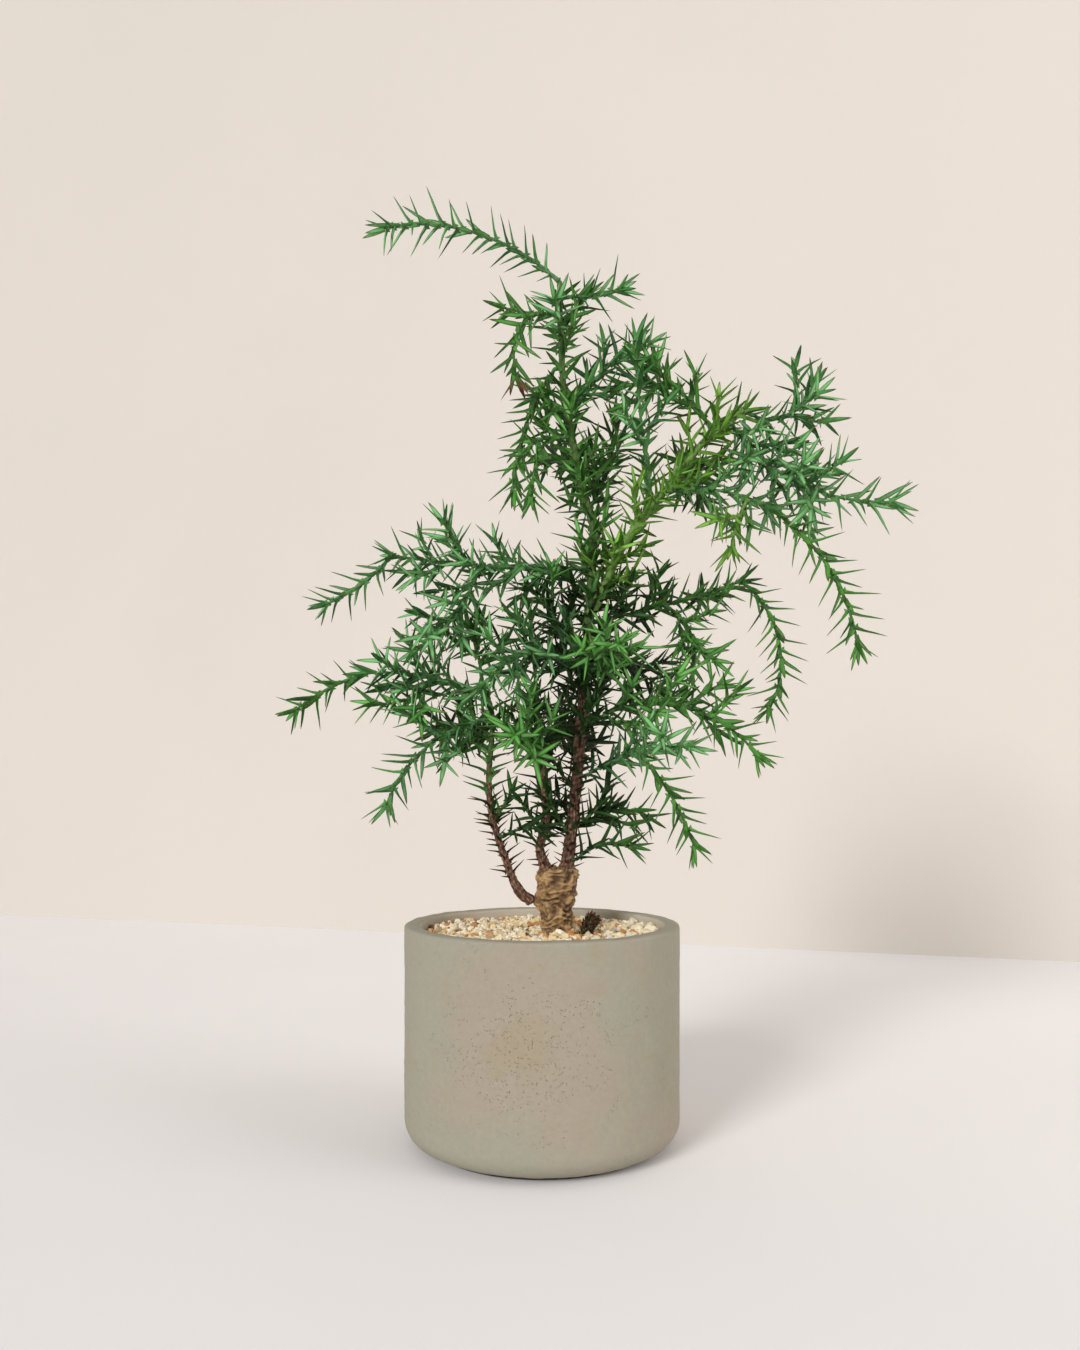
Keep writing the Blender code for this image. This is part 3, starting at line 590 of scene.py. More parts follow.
@dataclass(frozen=True)
class Concrete:
    """Cast concrete: cloudy warm grey, paler and greener patches, grit, painted shade in its pores and
    painted light inside.
    """

    name: str = "cast_concrete"
    base: Colour = (0.314, 0.270, 0.212)
    green: Colour = (0.294, 0.276, 0.214)
    yellow: Colour = (0.306, 0.255, 0.164)
    # the dark tone painted into the pores, as painted shade in the pits
    pore_shade: Colour = (0.130, 0.105, 0.070)
    # the inner wall's paler tone: painted light against the shade that falls inside the pot
    inside: Colour = (0.480, 0.420, 0.330)
    stain: Point = (-0.008, -POT_RADIUS, 0.058)

    def material(self) -> bpy.types.Material:
        """Builds the material.

        Returns:
            The material.
        """
        graph = Graph(self.name)
        where = graph.where()
        near = graph.near(self.stain)
        middle = graph.between(near, 0.020, 0.052, (1.0, 0.0))
        cloud = graph.math("ADD", graph.noise(where, 22.0, 4.0), graph.math("MULTIPLY", middle, 0.22))
        broad = graph.between(cloud, 0.46, 0.70)
        heart = graph.math("MULTIPLY", graph.between(near, 0.004, 0.026, (1.0, 0.0)), 0.30)
        warm = graph.noise(graph.where(turn=(0.4, 0.9, 0.2)), 60.0, 5.0)
        warm = graph.between(graph.math("ADD", warm, heart), 0.52, 0.76)
        fine = graph.noise(where, 420.0, 5.0, 0.7)
        colour = graph.mix(broad, self.green, self.base)
        colour = graph.mix(graph.math("MULTIPLY", warm, 0.55), colour, self.yellow)
        shade = graph.ramp(fine, [(0.25, (0.93, 0.925, 0.92)), (0.75, (1.05, 1.05, 1.05))])
        colour = graph.mix(1.0, colour, shade, "MULTIPLY")
        patch = graph.noise(graph.where(turn=(0.1, 0.3, 0.7)), 70.0, 3.0)
        patch = graph.math("ADD", patch, graph.math("MULTIPLY", middle, 0.20))
        patch = graph.between(patch, 0.54, 0.68)
        # pores painted dark within the patches: painted shade in the pits
        dots = graph.between(graph.cells(where, 980.0), 0.18, 0.34, (1.0, 0.0))
        grains = graph.between(graph.noise(where, 640.0, 2.0), 0.50, 0.60)
        pores = graph.math("MULTIPLY", graph.math("MULTIPLY", dots, grains), patch)
        colour = graph.mix(graph.math("MULTIPLY", pores, 0.65), colour, self.pore_shade)
        # painted light: the inner wall above the floor is painted paler
        colour = graph.mix(graph.math("MULTIPLY", graph.mark("inside"), 0.85), colour, self.inside)
        height = graph.math("SUBTRACT", graph.math("MULTIPLY", fine, 0.35), pores)
        graph.bump(height, 0.00035, 0.8)
        rough = graph.between(graph.noise(where, 60.0, 3.0), 0.3, 0.7, (0.74, 0.92))
        return graph.done(colour, rough, 0.3)


@dataclass(frozen=True)
class Cloudy:
    """A plain solid with cloudy colour and a grainy surface: felt, plaster, foam or wire."""

    name: str
    low: Colour
    high: Colour
    scale: float
    depth: float
    roughness: float = 0.9
    metallic: float = 0.0
    stretch: Point = (1.0, 1.0, 1.0)

    def material(self) -> bpy.types.Material:
        """Builds the material.

        Returns:
            The material.
        """
        graph = Graph(self.name)
        where = graph.where(self.stretch)
        grain = graph.noise(where, self.scale, 5.0, 0.65)
        patch = graph.noise(where, self.scale * 0.12, 2.0)
        colour = graph.mix(graph.between(grain, 0.3, 0.7), self.low, self.high)
        tint = graph.ramp(patch, [(0.3, (0.85, 0.85, 0.85)), (0.7, (1.08, 1.08, 1.08))])
        colour = graph.mix(1.0, colour, tint, "MULTIPLY")
        graph.bump(grain, self.depth)
        graph.shader.inputs["Metallic"].default_value = self.metallic
        return graph.done(colour, self.roughness, 0.3)


@dataclass(frozen=True)
class Stones:
    """Crushed stone: each stone takes its own tone from its chance mark."""

    name: str = "crushed_stone"

    def material(self) -> bpy.types.Material:
        """Builds the material.

        Returns:
            The material.
        """
        graph = Graph(self.name)
        where = graph.where()
        tones = [
            (0.00, (0.82, 0.73, 0.53)),
            (0.20, (0.76, 0.62, 0.36)),
            (0.36, (0.88, 0.84, 0.72)),
            (0.54, (0.64, 0.46, 0.23)),
            (0.64, (0.85, 0.78, 0.60)),
            (0.77, (0.52, 0.25, 0.08)),
            (0.85, (0.70, 0.65, 0.53)),
            (0.93, (0.42, 0.30, 0.18)),
            (0.97, (0.16, 0.10, 0.06)),
        ]
        colour = graph.ramp(graph.mark("chance"), tones, True)
        cloud = graph.noise(where, 520.0, 4.0, 0.6)
        shade = graph.ramp(cloud, [(0.3, (0.72, 0.66, 0.58)), (0.7, (1.12, 1.12, 1.12))])
        colour = graph.mix(1.0, colour, shade, "MULTIPLY")
        rust = graph.between(graph.noise(graph.where(turn=(0.5, 0.2, 0.9)), 260.0, 3.0), 0.56, 0.72)
        colour = graph.mix(graph.math("MULTIPLY", rust, 0.5), colour, (0.52, 0.29, 0.12))
        graph.bump(graph.noise(where, 1400.0, 4.0), 0.00012)
        return graph.done(colour, 0.72, 0.4)


@dataclass(frozen=True)
class Bark:
    """Moulded bark: fibres along the stem, green when young, ridges painted pale as painted highlight and
    furrows dark as painted shade.
    """

    name: str
    dark: Colour
    middle: Colour
    pale: Colour
    young: Colour = (0.085, 0.150, 0.035)
    fibre: Point = (1.0, 1.0, 0.28)
    scale: float = 900.0

    def material(self) -> bpy.types.Material:
        """Builds the material. The ripe mark runs from nought, green, to one, brown. The height mark
        paints highlight on ridges and shade in furrows.

        Returns:
            The material.
        """
        graph = Graph(self.name)
        where = graph.where(self.fibre)
        grain = graph.noise(where, self.scale, 6.0, 0.65)
        blotch = graph.noise(graph.where(), self.scale * 0.22, 3.0)
        # painted highlight and shade: the height mark makes ridges paler and furrows darker, over the grain's
        # own tone
        height = graph.mark("height")
        tone = graph.math("ADD", graph.math("MULTIPLY", grain, 0.6), graph.math("MULTIPLY", height, 0.5))
        colour = graph.ramp(tone, [(0.28, self.dark), (0.52, self.middle), (0.82, self.pale)])
        red = graph.between(blotch, 0.52, 0.70)
        colour = graph.mix(graph.math("MULTIPLY", red, 0.45), colour, self.dark)
        green = graph.mix(graph.between(grain, 0.3, 0.7), self.young, tuple(c * 0.5 for c in self.young))
        ripe = graph.math("ADD", graph.mark("ripe"), graph.math("MULTIPLY", blotch, 0.5))
        ripe = graph.between(ripe, 0.55, 0.95)
        colour = graph.mix(ripe, green, colour)
        graph.bump(grain, 0.0004)
        return graph.done(colour, graph.between(grain, 0.3, 0.7, (0.62, 0.88)), 0.35)


class Tone(Enum):
    """The foliage tones, each named by its slot in the record."""

    BLUE = "foliage_blue"
    GREEN = "foliage_green"
    DEEP = "foliage_deep"
    YELLOW = "fork_green"


@dataclass(frozen=True)
class Needle:
    """Moulded needles: green blades with a paler blue-green face, part real bloom and part painted sheen, and
    darker, browner tips.
    """

    name: str
    dark: Colour
    green: Colour
    # face: the upper side's colour, part real bloom and part painted sheen
    face: Colour
    tip: Colour = (0.075, 0.032, 0.014)
    edge: Colour = (0.038, 0.034, 0.010)
    # the colour that painted shade darkens needles toward, deep in the tree
    shade: Colour = (0.005, 0.020, 0.004)

    def material(self) -> bpy.types.Material:
        """Builds the material from the marks along, edge, face, chance, dead and inner; inner paints shade.

        Returns:
            The material.
        """
        graph = Graph(self.name)
        along = graph.mark("along")
        chance = graph.mark("chance")
        grain = graph.noise(graph.where(), 260.0, 3.0)
        tone = graph.math("ADD", graph.math("MULTIPLY", grain, 0.7), graph.math("MULTIPLY", chance, 0.5))
        colour = graph.mix(graph.between(tone, 0.35, 0.85), self.dark, self.green)
        # the upper face is paler: part the needles' waxy bloom, part a painted sheen
        bloom_and_sheen = graph.math("MULTIPLY", graph.between(graph.mark("face"), 0.05, 0.9), 0.72)
        colour = graph.mix(bloom_and_sheen, colour, self.face)
        foot = graph.math("MULTIPLY", graph.between(along, 0.0, 0.30, (1.0, 0.0)), 0.40)
        colour = graph.mix(foot, colour, (0.115, 0.240, 0.055))
        rim = graph.between(graph.mark("edge"), 0.50, 1.0)
        rim = graph.math("MULTIPLY", rim, graph.between(along, 0.05, 0.55, (0.25, 0.75)))
        colour = graph.mix(rim, colour, self.edge)
        dry = graph.math("MULTIPLY", graph.between(along, 0.62, 1.0), graph.between(chance, 0.15, 0.60))
        colour = graph.mix(graph.math("MULTIPLY", dry, 0.85), colour, self.tip)
        dead = graph.between(graph.mark("dead"), 0.3, 0.8)
        colour = graph.mix(dead, colour, (0.115, 0.052, 0.024))
        # painted shade: the inner mark darkens needles deep in the tree and behind it toward the shade
        # colour, and dead ones toward a dark brown
        inner = graph.between(graph.mark("inner"), 0.12, 0.75)
        painted_shade_colour = graph.mix(dead, self.shade, (0.022, 0.010, 0.007))
        colour = graph.mix(graph.math("MULTIPLY", inner, 0.84), colour, painted_shade_colour)
        graph.bump(graph.noise(graph.where(), 1500.0, 2.0), 0.00008)
        rough = graph.between(grain, 0.3, 0.7, (0.48, 0.64))
        return graph.done(colour, rough, 0.18)


# each tone gives dark, green and face colours; the pale face colour is part bloom and part painted sheen
NEEDLES = {
    Tone.BLUE: Needle(
        "needles_blue_green", (0.020, 0.090, 0.022), (0.090, 0.288, 0.074), (0.230, 0.535, 0.205)
    ),
    Tone.GREEN: Needle(
        "needles_green", (0.015, 0.074, 0.009), (0.072, 0.258, 0.036), (0.165, 0.470, 0.104)
    ),
    Tone.DEEP: Needle(
        "needles_deep_green", (0.007, 0.040, 0.005), (0.038, 0.155, 0.018), (0.086, 0.290, 0.052)
    ),
    Tone.YELLOW: Needle(
        "needles_yellow_green", (0.048, 0.140, 0.012), (0.150, 0.350, 0.036), (0.245, 0.520, 0.085)
    ),
}


# ---- Needles ---------------------------------------------------------------------------
@dataclass(frozen=True)
class NeedlePlan:
    """How needles stand on a limb."""

    spacing: float = 0.00205
    length: float = 0.0155
    spread: float = 0.16
    lean: float = 62.0
    half_width: float = 0.00120
    keel: float = 0.00110
    start: float = 0.004
    bud: int = 5
    bud_length: float = 0.006
    dead: float = 0.0

    RINGS = np.array([0.0, 0.10, 0.32, 0.62, 0.88])
    WIDTH = np.array([0.90, 0.96, 1.00, 0.82, 0.40])
    KEEL = np.array([2.00, 1.05, 0.66, 0.46, 0.20])
    CROWN = np.array([0.70, 0.42, 0.26, 0.18, 0.08])

    def grow(self, path: Path, radius: float, seed: int, limits: tuple[float, float] = (0.0, 1.0)) -> Part:
        """Needles in a golden-angle spiral round a limb, closing into a bud at its tip.

        Needle i stands at start + i·spacing and is turned i golden angles round the limb.
        Its middle line bends away from the limb by lean(t). Its four corner rows are the
        middle ± width(t)·side, + crown(t)·normal and - keel(t)·normal, and all four meet
        in the tip. The keel is deepest at the foot, where it runs down the limb.

        Args:
            path: The limb's path.
            radius: The limb's radius near its tip.
            seed: Seed of the needles' small differences.
            limits: The shares of the limb's length between which needles grow.

        Returns:
            The needles, marked with along, edge, face and chance.
        """
        rng = np.random.default_rng(seed)
        low = max(self.start, limits[0] * path.length)
        high = limits[1] * path.length
        at = np.arange(low, high, self.spacing)
        at = at + rng.uniform(-0.35, 0.35, len(at)) * self.spacing
        bud = self.bud if limits[1] >= 1.0 else 0
        at = np.clip(np.concatenate([at, np.full(bud, path.length)]), 0, path.length)
        count = len(at)
        turn = np.arange(count) * GOLDEN_TURN + rng.normal(0, 0.16, count)
        closing = smoothstep(at, path.length - self.bud_length, path.length) if bud else np.zeros(count)
        opening = 0.62 + 0.38 * smoothstep(at, 0.0, 0.014)
        lean = np.radians(self.lean + rng.normal(0, 4.5, count))
        lean = lean * (1 - closing * rng.uniform(0.10, 0.60, count))
        length = self.length * (1 + rng.uniform(-self.spread, self.spread, count))
        length = length * opening * (1 - 0.22 * closing)
        centre, along, across, up = path.at(at)
        out = across * np.cos(turn)[:, None] + up * np.sin(turn)[:, None]
        side = np.cross(along, out)
        ends = np.append(self.RINGS, 1.0)
        middle = (ends[:-1] + ends[1:]) / 2
        curve = np.radians(rng.normal(-2.0, 4.0, count))
        bent = lean[:, None] * (0.62 + 0.38 * smoothstep(middle, 0.0, 0.30)) + curve[:, None] * middle
        steps = length[:, None] * np.diff(ends)
        ways = along[:, None] * np.cos(bent)[..., None] + out[:, None] * np.sin(bent)[..., None]
        foot = centre + out * (radius * 0.55)
        line = foot[:, None] + np.cumsum(ways * steps[..., None], axis=1)
        line = np.concatenate([foot[:, None], line], axis=1)
        normal = along[:, None] * np.sin(bent)[..., None] - out[:, None] * np.cos(bent)[..., None]
        roll = rng.normal(0, 0.22, count)
        side_way = side[:, None] * np.cos(roll)[:, None, None] + normal * np.sin(roll)[:, None, None]
        lift = normal * np.cos(roll)[:, None, None] - side[:, None] * np.sin(roll)[:, None, None]
        size = (length / self.length) ** 0.5
        wide = side_way * (self.half_width * size[:, None] * self.WIDTH)[..., None]
        crown = lift * (self.half_width * size[:, None] * self.CROWN)[..., None]
        keel = lift * (self.keel * size[:, None] * self.KEEL)[..., None]
        rows = line[:, :-1]
        corners = np.stack([rows + wide, rows + crown, rows - wide, rows - keel], axis=2)
        blocks = np.concatenate([corners.reshape(count, -1, 3), line[:, -1:]], axis=1)
        rings = len(self.RINGS)
        face = np.vstack([ring_quads(rings, 4), [[3, 2, 1, 0]]])
        last = (rings - 1) * 4
        point = np.array([[last + k, last + (k + 1) % 4, rings * 4] for k in range(4)])
        shift = (np.arange(count) * (rings * 4 + 1))[:, None, None]
        marks = {
            "along": np.append(np.repeat(self.RINGS, 4), 1.0),
            "edge": np.append(np.tile([1.0, 0.0, 1.0, 0.0], rings), 0.6),
            "face": np.append(np.tile([0.15, 1.0, 0.15, -0.6], rings), 0.3),
        }
        marks = {key: np.tile(values, count) for key, values in marks.items()}
        marks["chance"] = np.repeat(rng.random(count), rings * 4 + 1)
        marks["dead"] = np.full(count * (rings * 4 + 1), self.dead)
        part = Part(
            blocks.reshape(-1, 3),
            (face[None] + shift).reshape(-1, 4),
            (point[None] + shift).reshape(-1, 3),
            marks,
        )
        return part


# ---- The limbs' places, as in the frame ------------------------------------------------
@dataclass(frozen=True)
class Stem:
    """A moulded stem. Its points are x, y and height above the trunk's top."""

    name: str
    points: tuple
    radius: float
    tip_share: float
    needles_from: float
    dense_from: float
    slimness: float

    RING_STEP = 0.008


@dataclass(frozen=True)
class Twig:
    """A branch or sprig, placed by the height or distance at which it leaves its parent."""

    name: str
    on: str
    at: float
    heading: float
    length: float
    rise: tuple[float, float]
    turn: float = 0.0
    hinged: bool = False
    tone: Tone = Tone.GREEN

    RADIUS = 0.0015
    TIP_SHARE = 0.45
    ROOT_BALL = 0.0015
    RING_STEP = 0.005

    def way(self) -> Array:
        """The unit direction in which the twig sets out.

        Returns:
            The direction.
        """
        rise, heading = math.radians(self.rise[0]), math.radians(self.heading)
        level = math.cos(rise)
        return np.array((level * math.cos(heading), level * math.sin(heading), math.sin(rise)))

    def rough_line(self, start: Array) -> Array:
        """The twig's line at the frame's own spacing: heading and rise change evenly.

        Args:
            start: The twig's first point.

        Returns:
            The points, each one even step from the last.
        """
        count = max(4, round(self.length / self.RING_STEP))
        t = (np.arange(count) + 0.5) / count
        rise = np.radians(self.rise[0] + (self.rise[1] - self.rise[0]) * t)
        heading = np.radians(self.heading + self.turn * t)
        level = np.cos(rise)
        steps = np.stack([level * np.cos(heading), level * np.sin(heading), np.sin(rise)], axis=1)
        return np.vstack([start, start + np.cumsum(steps * self.length / count, axis=0)])


@dataclass
class Limb:
    """A limb in place: its fine path, its radii there and the body that carries it."""

    name: str
    body: str
    rough: Array
    rough_radii: Array
    path: Path
    tone: Tone


STEMS = (
    Stem(
        "leader",
        (
            (0.0145, -0.001, 0.022),
            (0.017, -0.001, 0.046),
            (0.020, 0.0, 0.088),
            (0.023, 0.001, 0.128),
            (0.0245, 0.002, 0.153),
            (0.0245, 0.002, 0.168),
            (0.019, 0.002, 0.187),
            (0.016, 0.001, 0.203),
            (0.011, 0.0, 0.226),
            (0.009, 0.0, 0.259),
            (0.0085, 0.0, 0.284),
        ),
        0.0035,
        0.42,
        0.016,
        0.080,
        0.84,
    ),
    Stem(
        "left_stem",
        (
            (-0.014, -0.003, -0.004),
            (-0.018, -0.003, 0.007),
            (-0.024, -0.003, 0.026),
            (-0.0255, -0.003, 0.045),
            (-0.024, -0.002, 0.066),
            (-0.0245, -0.001, 0.078),
            (-0.029, 0.0, 0.090),
        ),
        0.0029,
        0.62,
        0.020,
        0.036,
        0.60,
    ),
    Stem(
        "middle_stem",
        (
            (-0.001, -0.004, 0.010),
            (0.002, -0.005, 0.026),
            (0.001, -0.005, 0.046),
            (-0.0015, -0.005, 0.061),
            (-0.003, -0.004, 0.088),
        ),
        0.0027,
        0.62,
        0.016,
        0.036,
        0.84,
    ),
    Stem(
        "fork_stem",
        (
            (0.0290, -0.0010, 0.135),
            (0.038, -0.006, 0.154),
            (0.050, -0.008, 0.171),
            (0.064, -0.009, 0.187),
            (0.075, -0.009, 0.202),
            (0.088, -0.008, 0.215),
            (0.096, -0.008, 0.219),
        ),
        0.0024,
        0.70,
        0.0,
        0.0,
        0.85,
    ),
)

BLUE, DEEP, YELLOW = Tone.BLUE, Tone.DEEP, Tone.YELLOW
TWIGS = (
    # the crown, at the leader's top
    Twig("branch_crown_left", "leader", 0.286, 186, 0.088, (40, -28), 28, True, BLUE),
    Twig("sprig_crown_right", "leader", 0.277, -20, 0.026, (-10, 8), tone=BLUE),
    Twig("branch_crown_droop", "leader", 0.270, 208, 0.048, (-4, -112), 30, True),
    Twig("sprig_crown_front", "leader", 0.262, 262, 0.020, (12, 22), tone=BLUE),
    Twig("branch_upper_left", "leader", 0.246, 165, 0.046, (-50, -82), -9, True),
    Twig("branch_waist_left", "leader", 0.208, 190, 0.043, (5, -100), 16, True),
    Twig("sprig_waist_left", "branch_waist_left", 0.012, 220, 0.026, (-70, -88)),
    Twig("branch_upper_right", "leader", 0.223, 15, 0.045, (47, 42), 0, True, BLUE),
    Twig("branch_rear_up", "leader", 0.175, 62, 0.059, (40, 77), 8, True, DEEP),
    Twig("branch_rear_high", "leader", 0.196, 110, 0.050, (35, 10), 0, True, DEEP),
    # the yellowish stem that forks off to the right
    Twig("branch_fork_up", "fork_stem", 0.175, 232, 0.070, (70, 88), 0, True, BLUE),
    Twig("branch_fork_arch", "fork_stem", 0.209, 170, 0.050, (68, -12), 0, True),
    Twig("branch_fork_tip", "fork_stem", 0.218, 0, 0.036, (-30, 75), -20, True, BLUE),
    Twig("branch_fork_right", "fork_stem", 0.213, -32, 0.092, (-58, -8), -6, True, BLUE),
    Twig("branch_fork_low", "fork_stem", 0.183, -34, 0.050, (0, -34), 0, True, BLUE),
    Twig("sprig_fork_low_tip", "branch_fork_low", 0.050, -10, 0.073, (-36, -82), -10),
    Twig("sprig_fork_low", "branch_fork_low", 0.040, 200, 0.022, (-60, -80), tone=YELLOW),
    Twig("branch_fork_rear", "fork_stem", 0.195, 75, 0.048, (10, -20), 0, True, DEEP),
    # the middle of the leader
    Twig("branch_mid_right", "leader", 0.122, 25, 0.084, (14, 20), -11, True, DEEP),
    Twig("sprig_mid_right_tip", "branch_mid_right", 0.084, 2, 0.070, (-40, -118)),
    Twig("sprig_mid_right", "branch_mid_right", 0.042, -35, 0.048, (-30, -125)),
    Twig("branch_rear_mid", "leader", 0.108, 58, 0.062, (6, -27), -15, True, DEEP),
    Twig("branch_arm_left", "leader", 0.148, 186, 0.092, (-3, 8), 0, True, BLUE),
    Twig("sprig_arm_left_tip", "branch_arm_left", 0.092, 180, 0.036, (-49, -23), 0, tone=BLUE),
    Twig("sprig_arm_left", "branch_arm_left", 0.050, 205, 0.052, (-72, -31), 0, tone=BLUE),
    Twig("sprig_arm_left_up", "branch_arm_left", 0.054, 235, 0.022, (30, 50), 0, tone=BLUE),
    Twig("sprig_brown", "leader", 0.109, 172, 0.040, (63, 44), 7),
    Twig("branch_front_left", "leader", 0.100, 222, 0.064, (28, -50), 0, True, BLUE),
    Twig("branch_front_mid", "leader", 0.087, 285, 0.050, (35, 0), 0, True),
    # the lower right
    Twig("branch_low_right", "leader", 0.072, -34, 0.090, (31, -52), 19, True),
    Twig("branch_low_front", "leader", 0.042, -38, 0.064, (26, -4), -15, True, BLUE),
    Twig("sprig_low_front", "branch_low_front", 0.036, -8, 0.047, (-48, -72)),
    Twig("sprig_low", "leader", 0.025, 11, 0.037, (41, -27), 16, tone=DEEP),
    Twig("sprig_lowest", "leader", 0.010, -36, 0.030, (46, -17), 20, tone=DEEP),
    Twig("branch_rear_low", "leader", 0.060, 100, 0.058, (22, -10), 0, True, DEEP),
    # the left and middle stems
    Twig("branch_left_arm", "left_stem", 0.087, 180, 0.057, (31, -6), 2, True, BLUE),
    Twig("sprig_left_arm_tip", "branch_left_arm", 0.057, 175, 0.036, (-17, -37), 0),
    Twig("sprig_left_arm", "branch_left_arm", 0.026, 205, 0.030, (-50, 10), -10),
    Twig("branch_left_low", "left_stem", 0.070, 200, 0.066, (-11, -70), 4, True, BLUE),
    Twig("branch_left_rear", "left_stem", 0.058, 125, 0.050, (25, 0), 0, True, DEEP),
    Twig("sprig_left_top", "left_stem", 0.090, 120, 0.030, (80, 43), 0),
    Twig("sprig_left_inner", "left_stem", 0.016, -40, 0.020, (27, -4), 0, tone=DEEP),
    Twig("sprig_middle_top", "middle_stem", 0.088, 150, 0.031, (88, 50), 0),
    Twig("sprig_middle_left", "middle_stem", 0.059, 185, 0.018, (11, 50), 0),
    Twig("branch_front_low", "middle_stem", 0.052, 255, 0.044, (32, -6), 0, True),
)


# ---- Foliage ---------------------------------------------------------------------------
@dataclass
class Foliage:
    """All stems, branches and sprigs, each in its own piece on its own body."""

    plan: NeedlePlan = NeedlePlan()
    twig_radius: float = 0.00080
    twig_tip: float = 0.00055
    twig_sides: int = 9
    twig_step: float = 0.0011
    stem_sides: int = 28
    stem_step: float = 0.0008
    shoot_spacing: float = 0.0044
    shoot_length: float = 0.019
    shoot_plan: NeedlePlan = NeedlePlan(spacing=0.00195, length=0.0145, start=0.002, bud=2, bud_length=0.004)
    stem_plan: NeedlePlan = NeedlePlan(spacing=0.00185, length=0.0150, lean=76.0, bud=0)
    low_plan: NeedlePlan = NeedlePlan(spacing=0.0020, length=0.0105, lean=72.0, bud=0)
    fork_plan: NeedlePlan = NeedlePlan(spacing=0.0021, length=0.0160, lean=64.0, half_width=0.0012)
    thorn_plan: NeedlePlan = NeedlePlan(
        spacing=0.0012, length=0.0078, spread=0.40, lean=76.0, half_width=0.0007, keel=0.0009, bud=0, dead=1.0
    )
    limbs: dict[str, Limb] = field(default_factory=dict)

    # the stems' sockets in the trunk, as in the frame
    TRUNK_RADIUS = 0.0096
    SOCKET_WALL = 0.0008
    SOCKET_DEPTH = 0.011
    SIDE_RISE = math.radians(35.0)
    SIDE_OUT = 0.0119
    SIDE_DOWN = 0.0147
    SIDE_DEPTH = 0.0055
    FORK_ROOT = (0.0232, 0.0012, TRUNK_TOP + 0.124)

    # where shade is painted into the needles' colour, deep in the tree and behind it; each pair runs from one
    # value to another
    SHADE_LEFT = 0.006
    SHADE_REACH = 0.033
    SHADE_HEIGHTS = (0.165, 0.115)
    BEHIND_DEPTHS = (-0.004, 0.030)
    BEHIND_REACH = (0.090, 0.050)
    BEHIND_SHARE = 0.75

    # where side shoots stand: round the middle, up the leader and along the fork
    MIDDLE_X = 0.014
    MIDDLE_REACH = (0.088, 0.060)
    MIDDLE_HEIGHTS = (0.193, 0.175)
    MIDDLE_FOOT = (0.030, 0.085)
    COLUMN_REACH = (0.036, 0.022)
    COLUMN_HEIGHTS = (0.300, 0.280)
    COLUMN_SIDE = (-0.016, -0.006)
    COLUMN_SHARE = 0.44
    FORK_X = 0.100
    FORK_REACH = (0.055, 0.035)
    FORK_HEIGHTS = (0.165, 0.180)
    FORK_SHARE = 0.8

    def socket_feet(self) -> dict[str, tuple]:
        """The three points of each stem up its socket in the trunk.

        Returns:
            The points by stem name.
        """
        feet = {}
        for name, heading, upright, radius in (
            ("leader", 0.0, True, 0.0035),
            ("left_stem", 187.0, False, 0.0029),
            ("middle_stem", 211.0, True, 0.0027),
        ):
            turn = math.radians(heading)
            out = np.array((math.cos(turn), math.sin(turn), 0.0))
            axis = np.array((TRUNK_X, 0.0, TRUNK_TOP))
            if upright:
                room = self.TRUNK_RADIUS - self.SOCKET_WALL - GAP - radius
                along = np.array((0.0, 0.0, self.SOCKET_DEPTH))
                floor = axis + out * room - along
            else:
                floor = axis + out * self.SIDE_OUT - np.array((0.0, 0.0, self.SIDE_DOWN))
                upward = np.array((0.0, 0.0, math.sin(self.SIDE_RISE)))
                along = (out * math.cos(self.SIDE_RISE) + upward) * self.SIDE_DEPTH
            floor = floor + unit(along) * GAP
            feet[name] = (floor, floor + along / 2, floor + along)
        return feet

    def lay_out(self) -> None:
        """Places every limb as the frame has it, with a fine path along each."""
        feet = self.socket_feet()
        for stem in STEMS:
            rows = [*feet.get(stem.name, ()), *((x, y, TRUNK_TOP + z) for x, y, z in stem.points)]
            rough = smooth_line(rows, stem.RING_STEP)
            share = np.linspace(0.0, 1.0, len(rough))
            radii = stem.radius * (1 - (1 - stem.tip_share) * share)
            joined = rough
            if stem.name == "fork_stem":
                joined = np.vstack([self.FORK_ROOT, rough])
            path = Path(smooth_line(joined, self.stem_step))
            tone = Tone.YELLOW if stem.name == "fork_stem" else Tone.GREEN
            self.limbs[stem.name] = Limb(stem.name, "root", rough, radii, path, tone)
        stems = {stem.name for stem in STEMS}
        for twig in TWIGS:
            parent = self.limbs[twig.on]
            if twig.on in stems:
                index = int(np.argmin(np.abs(parent.rough[:, 2] - TRUNK_TOP - twig.at)))
            else:
                gone = np.linalg.norm(np.diff(parent.rough, axis=0), axis=1)
                index = int(np.argmin(np.abs(np.concatenate([[0.0], np.cumsum(gone)]) - twig.at)))
            out = twig.way()
            way = tangents(parent.rough)[index]
            outward = out - way * np.dot(out, way)
            if index == len(parent.rough) - 1:
                outward = out
            centre = parent.rough[index]
            start = centre + unit(outward) * (parent.rough_radii[index] + twig.ROOT_BALL + GAP)
            rough = twig.rough_line(start)
            share = np.linspace(0.0, 1.0, len(rough))
            radii = twig.RADIUS * (1 - (1 - twig.TIP_SHARE) * share)
            root = centre + (start - centre) * 0.2
            path = Path(smooth_line(np.vstack([root, rough]), self.twig_step))
            body = twig.name if twig.hinged else parent.body
            self.limbs[twig.name] = Limb(twig.name, body, rough, radii, path, twig.tone)

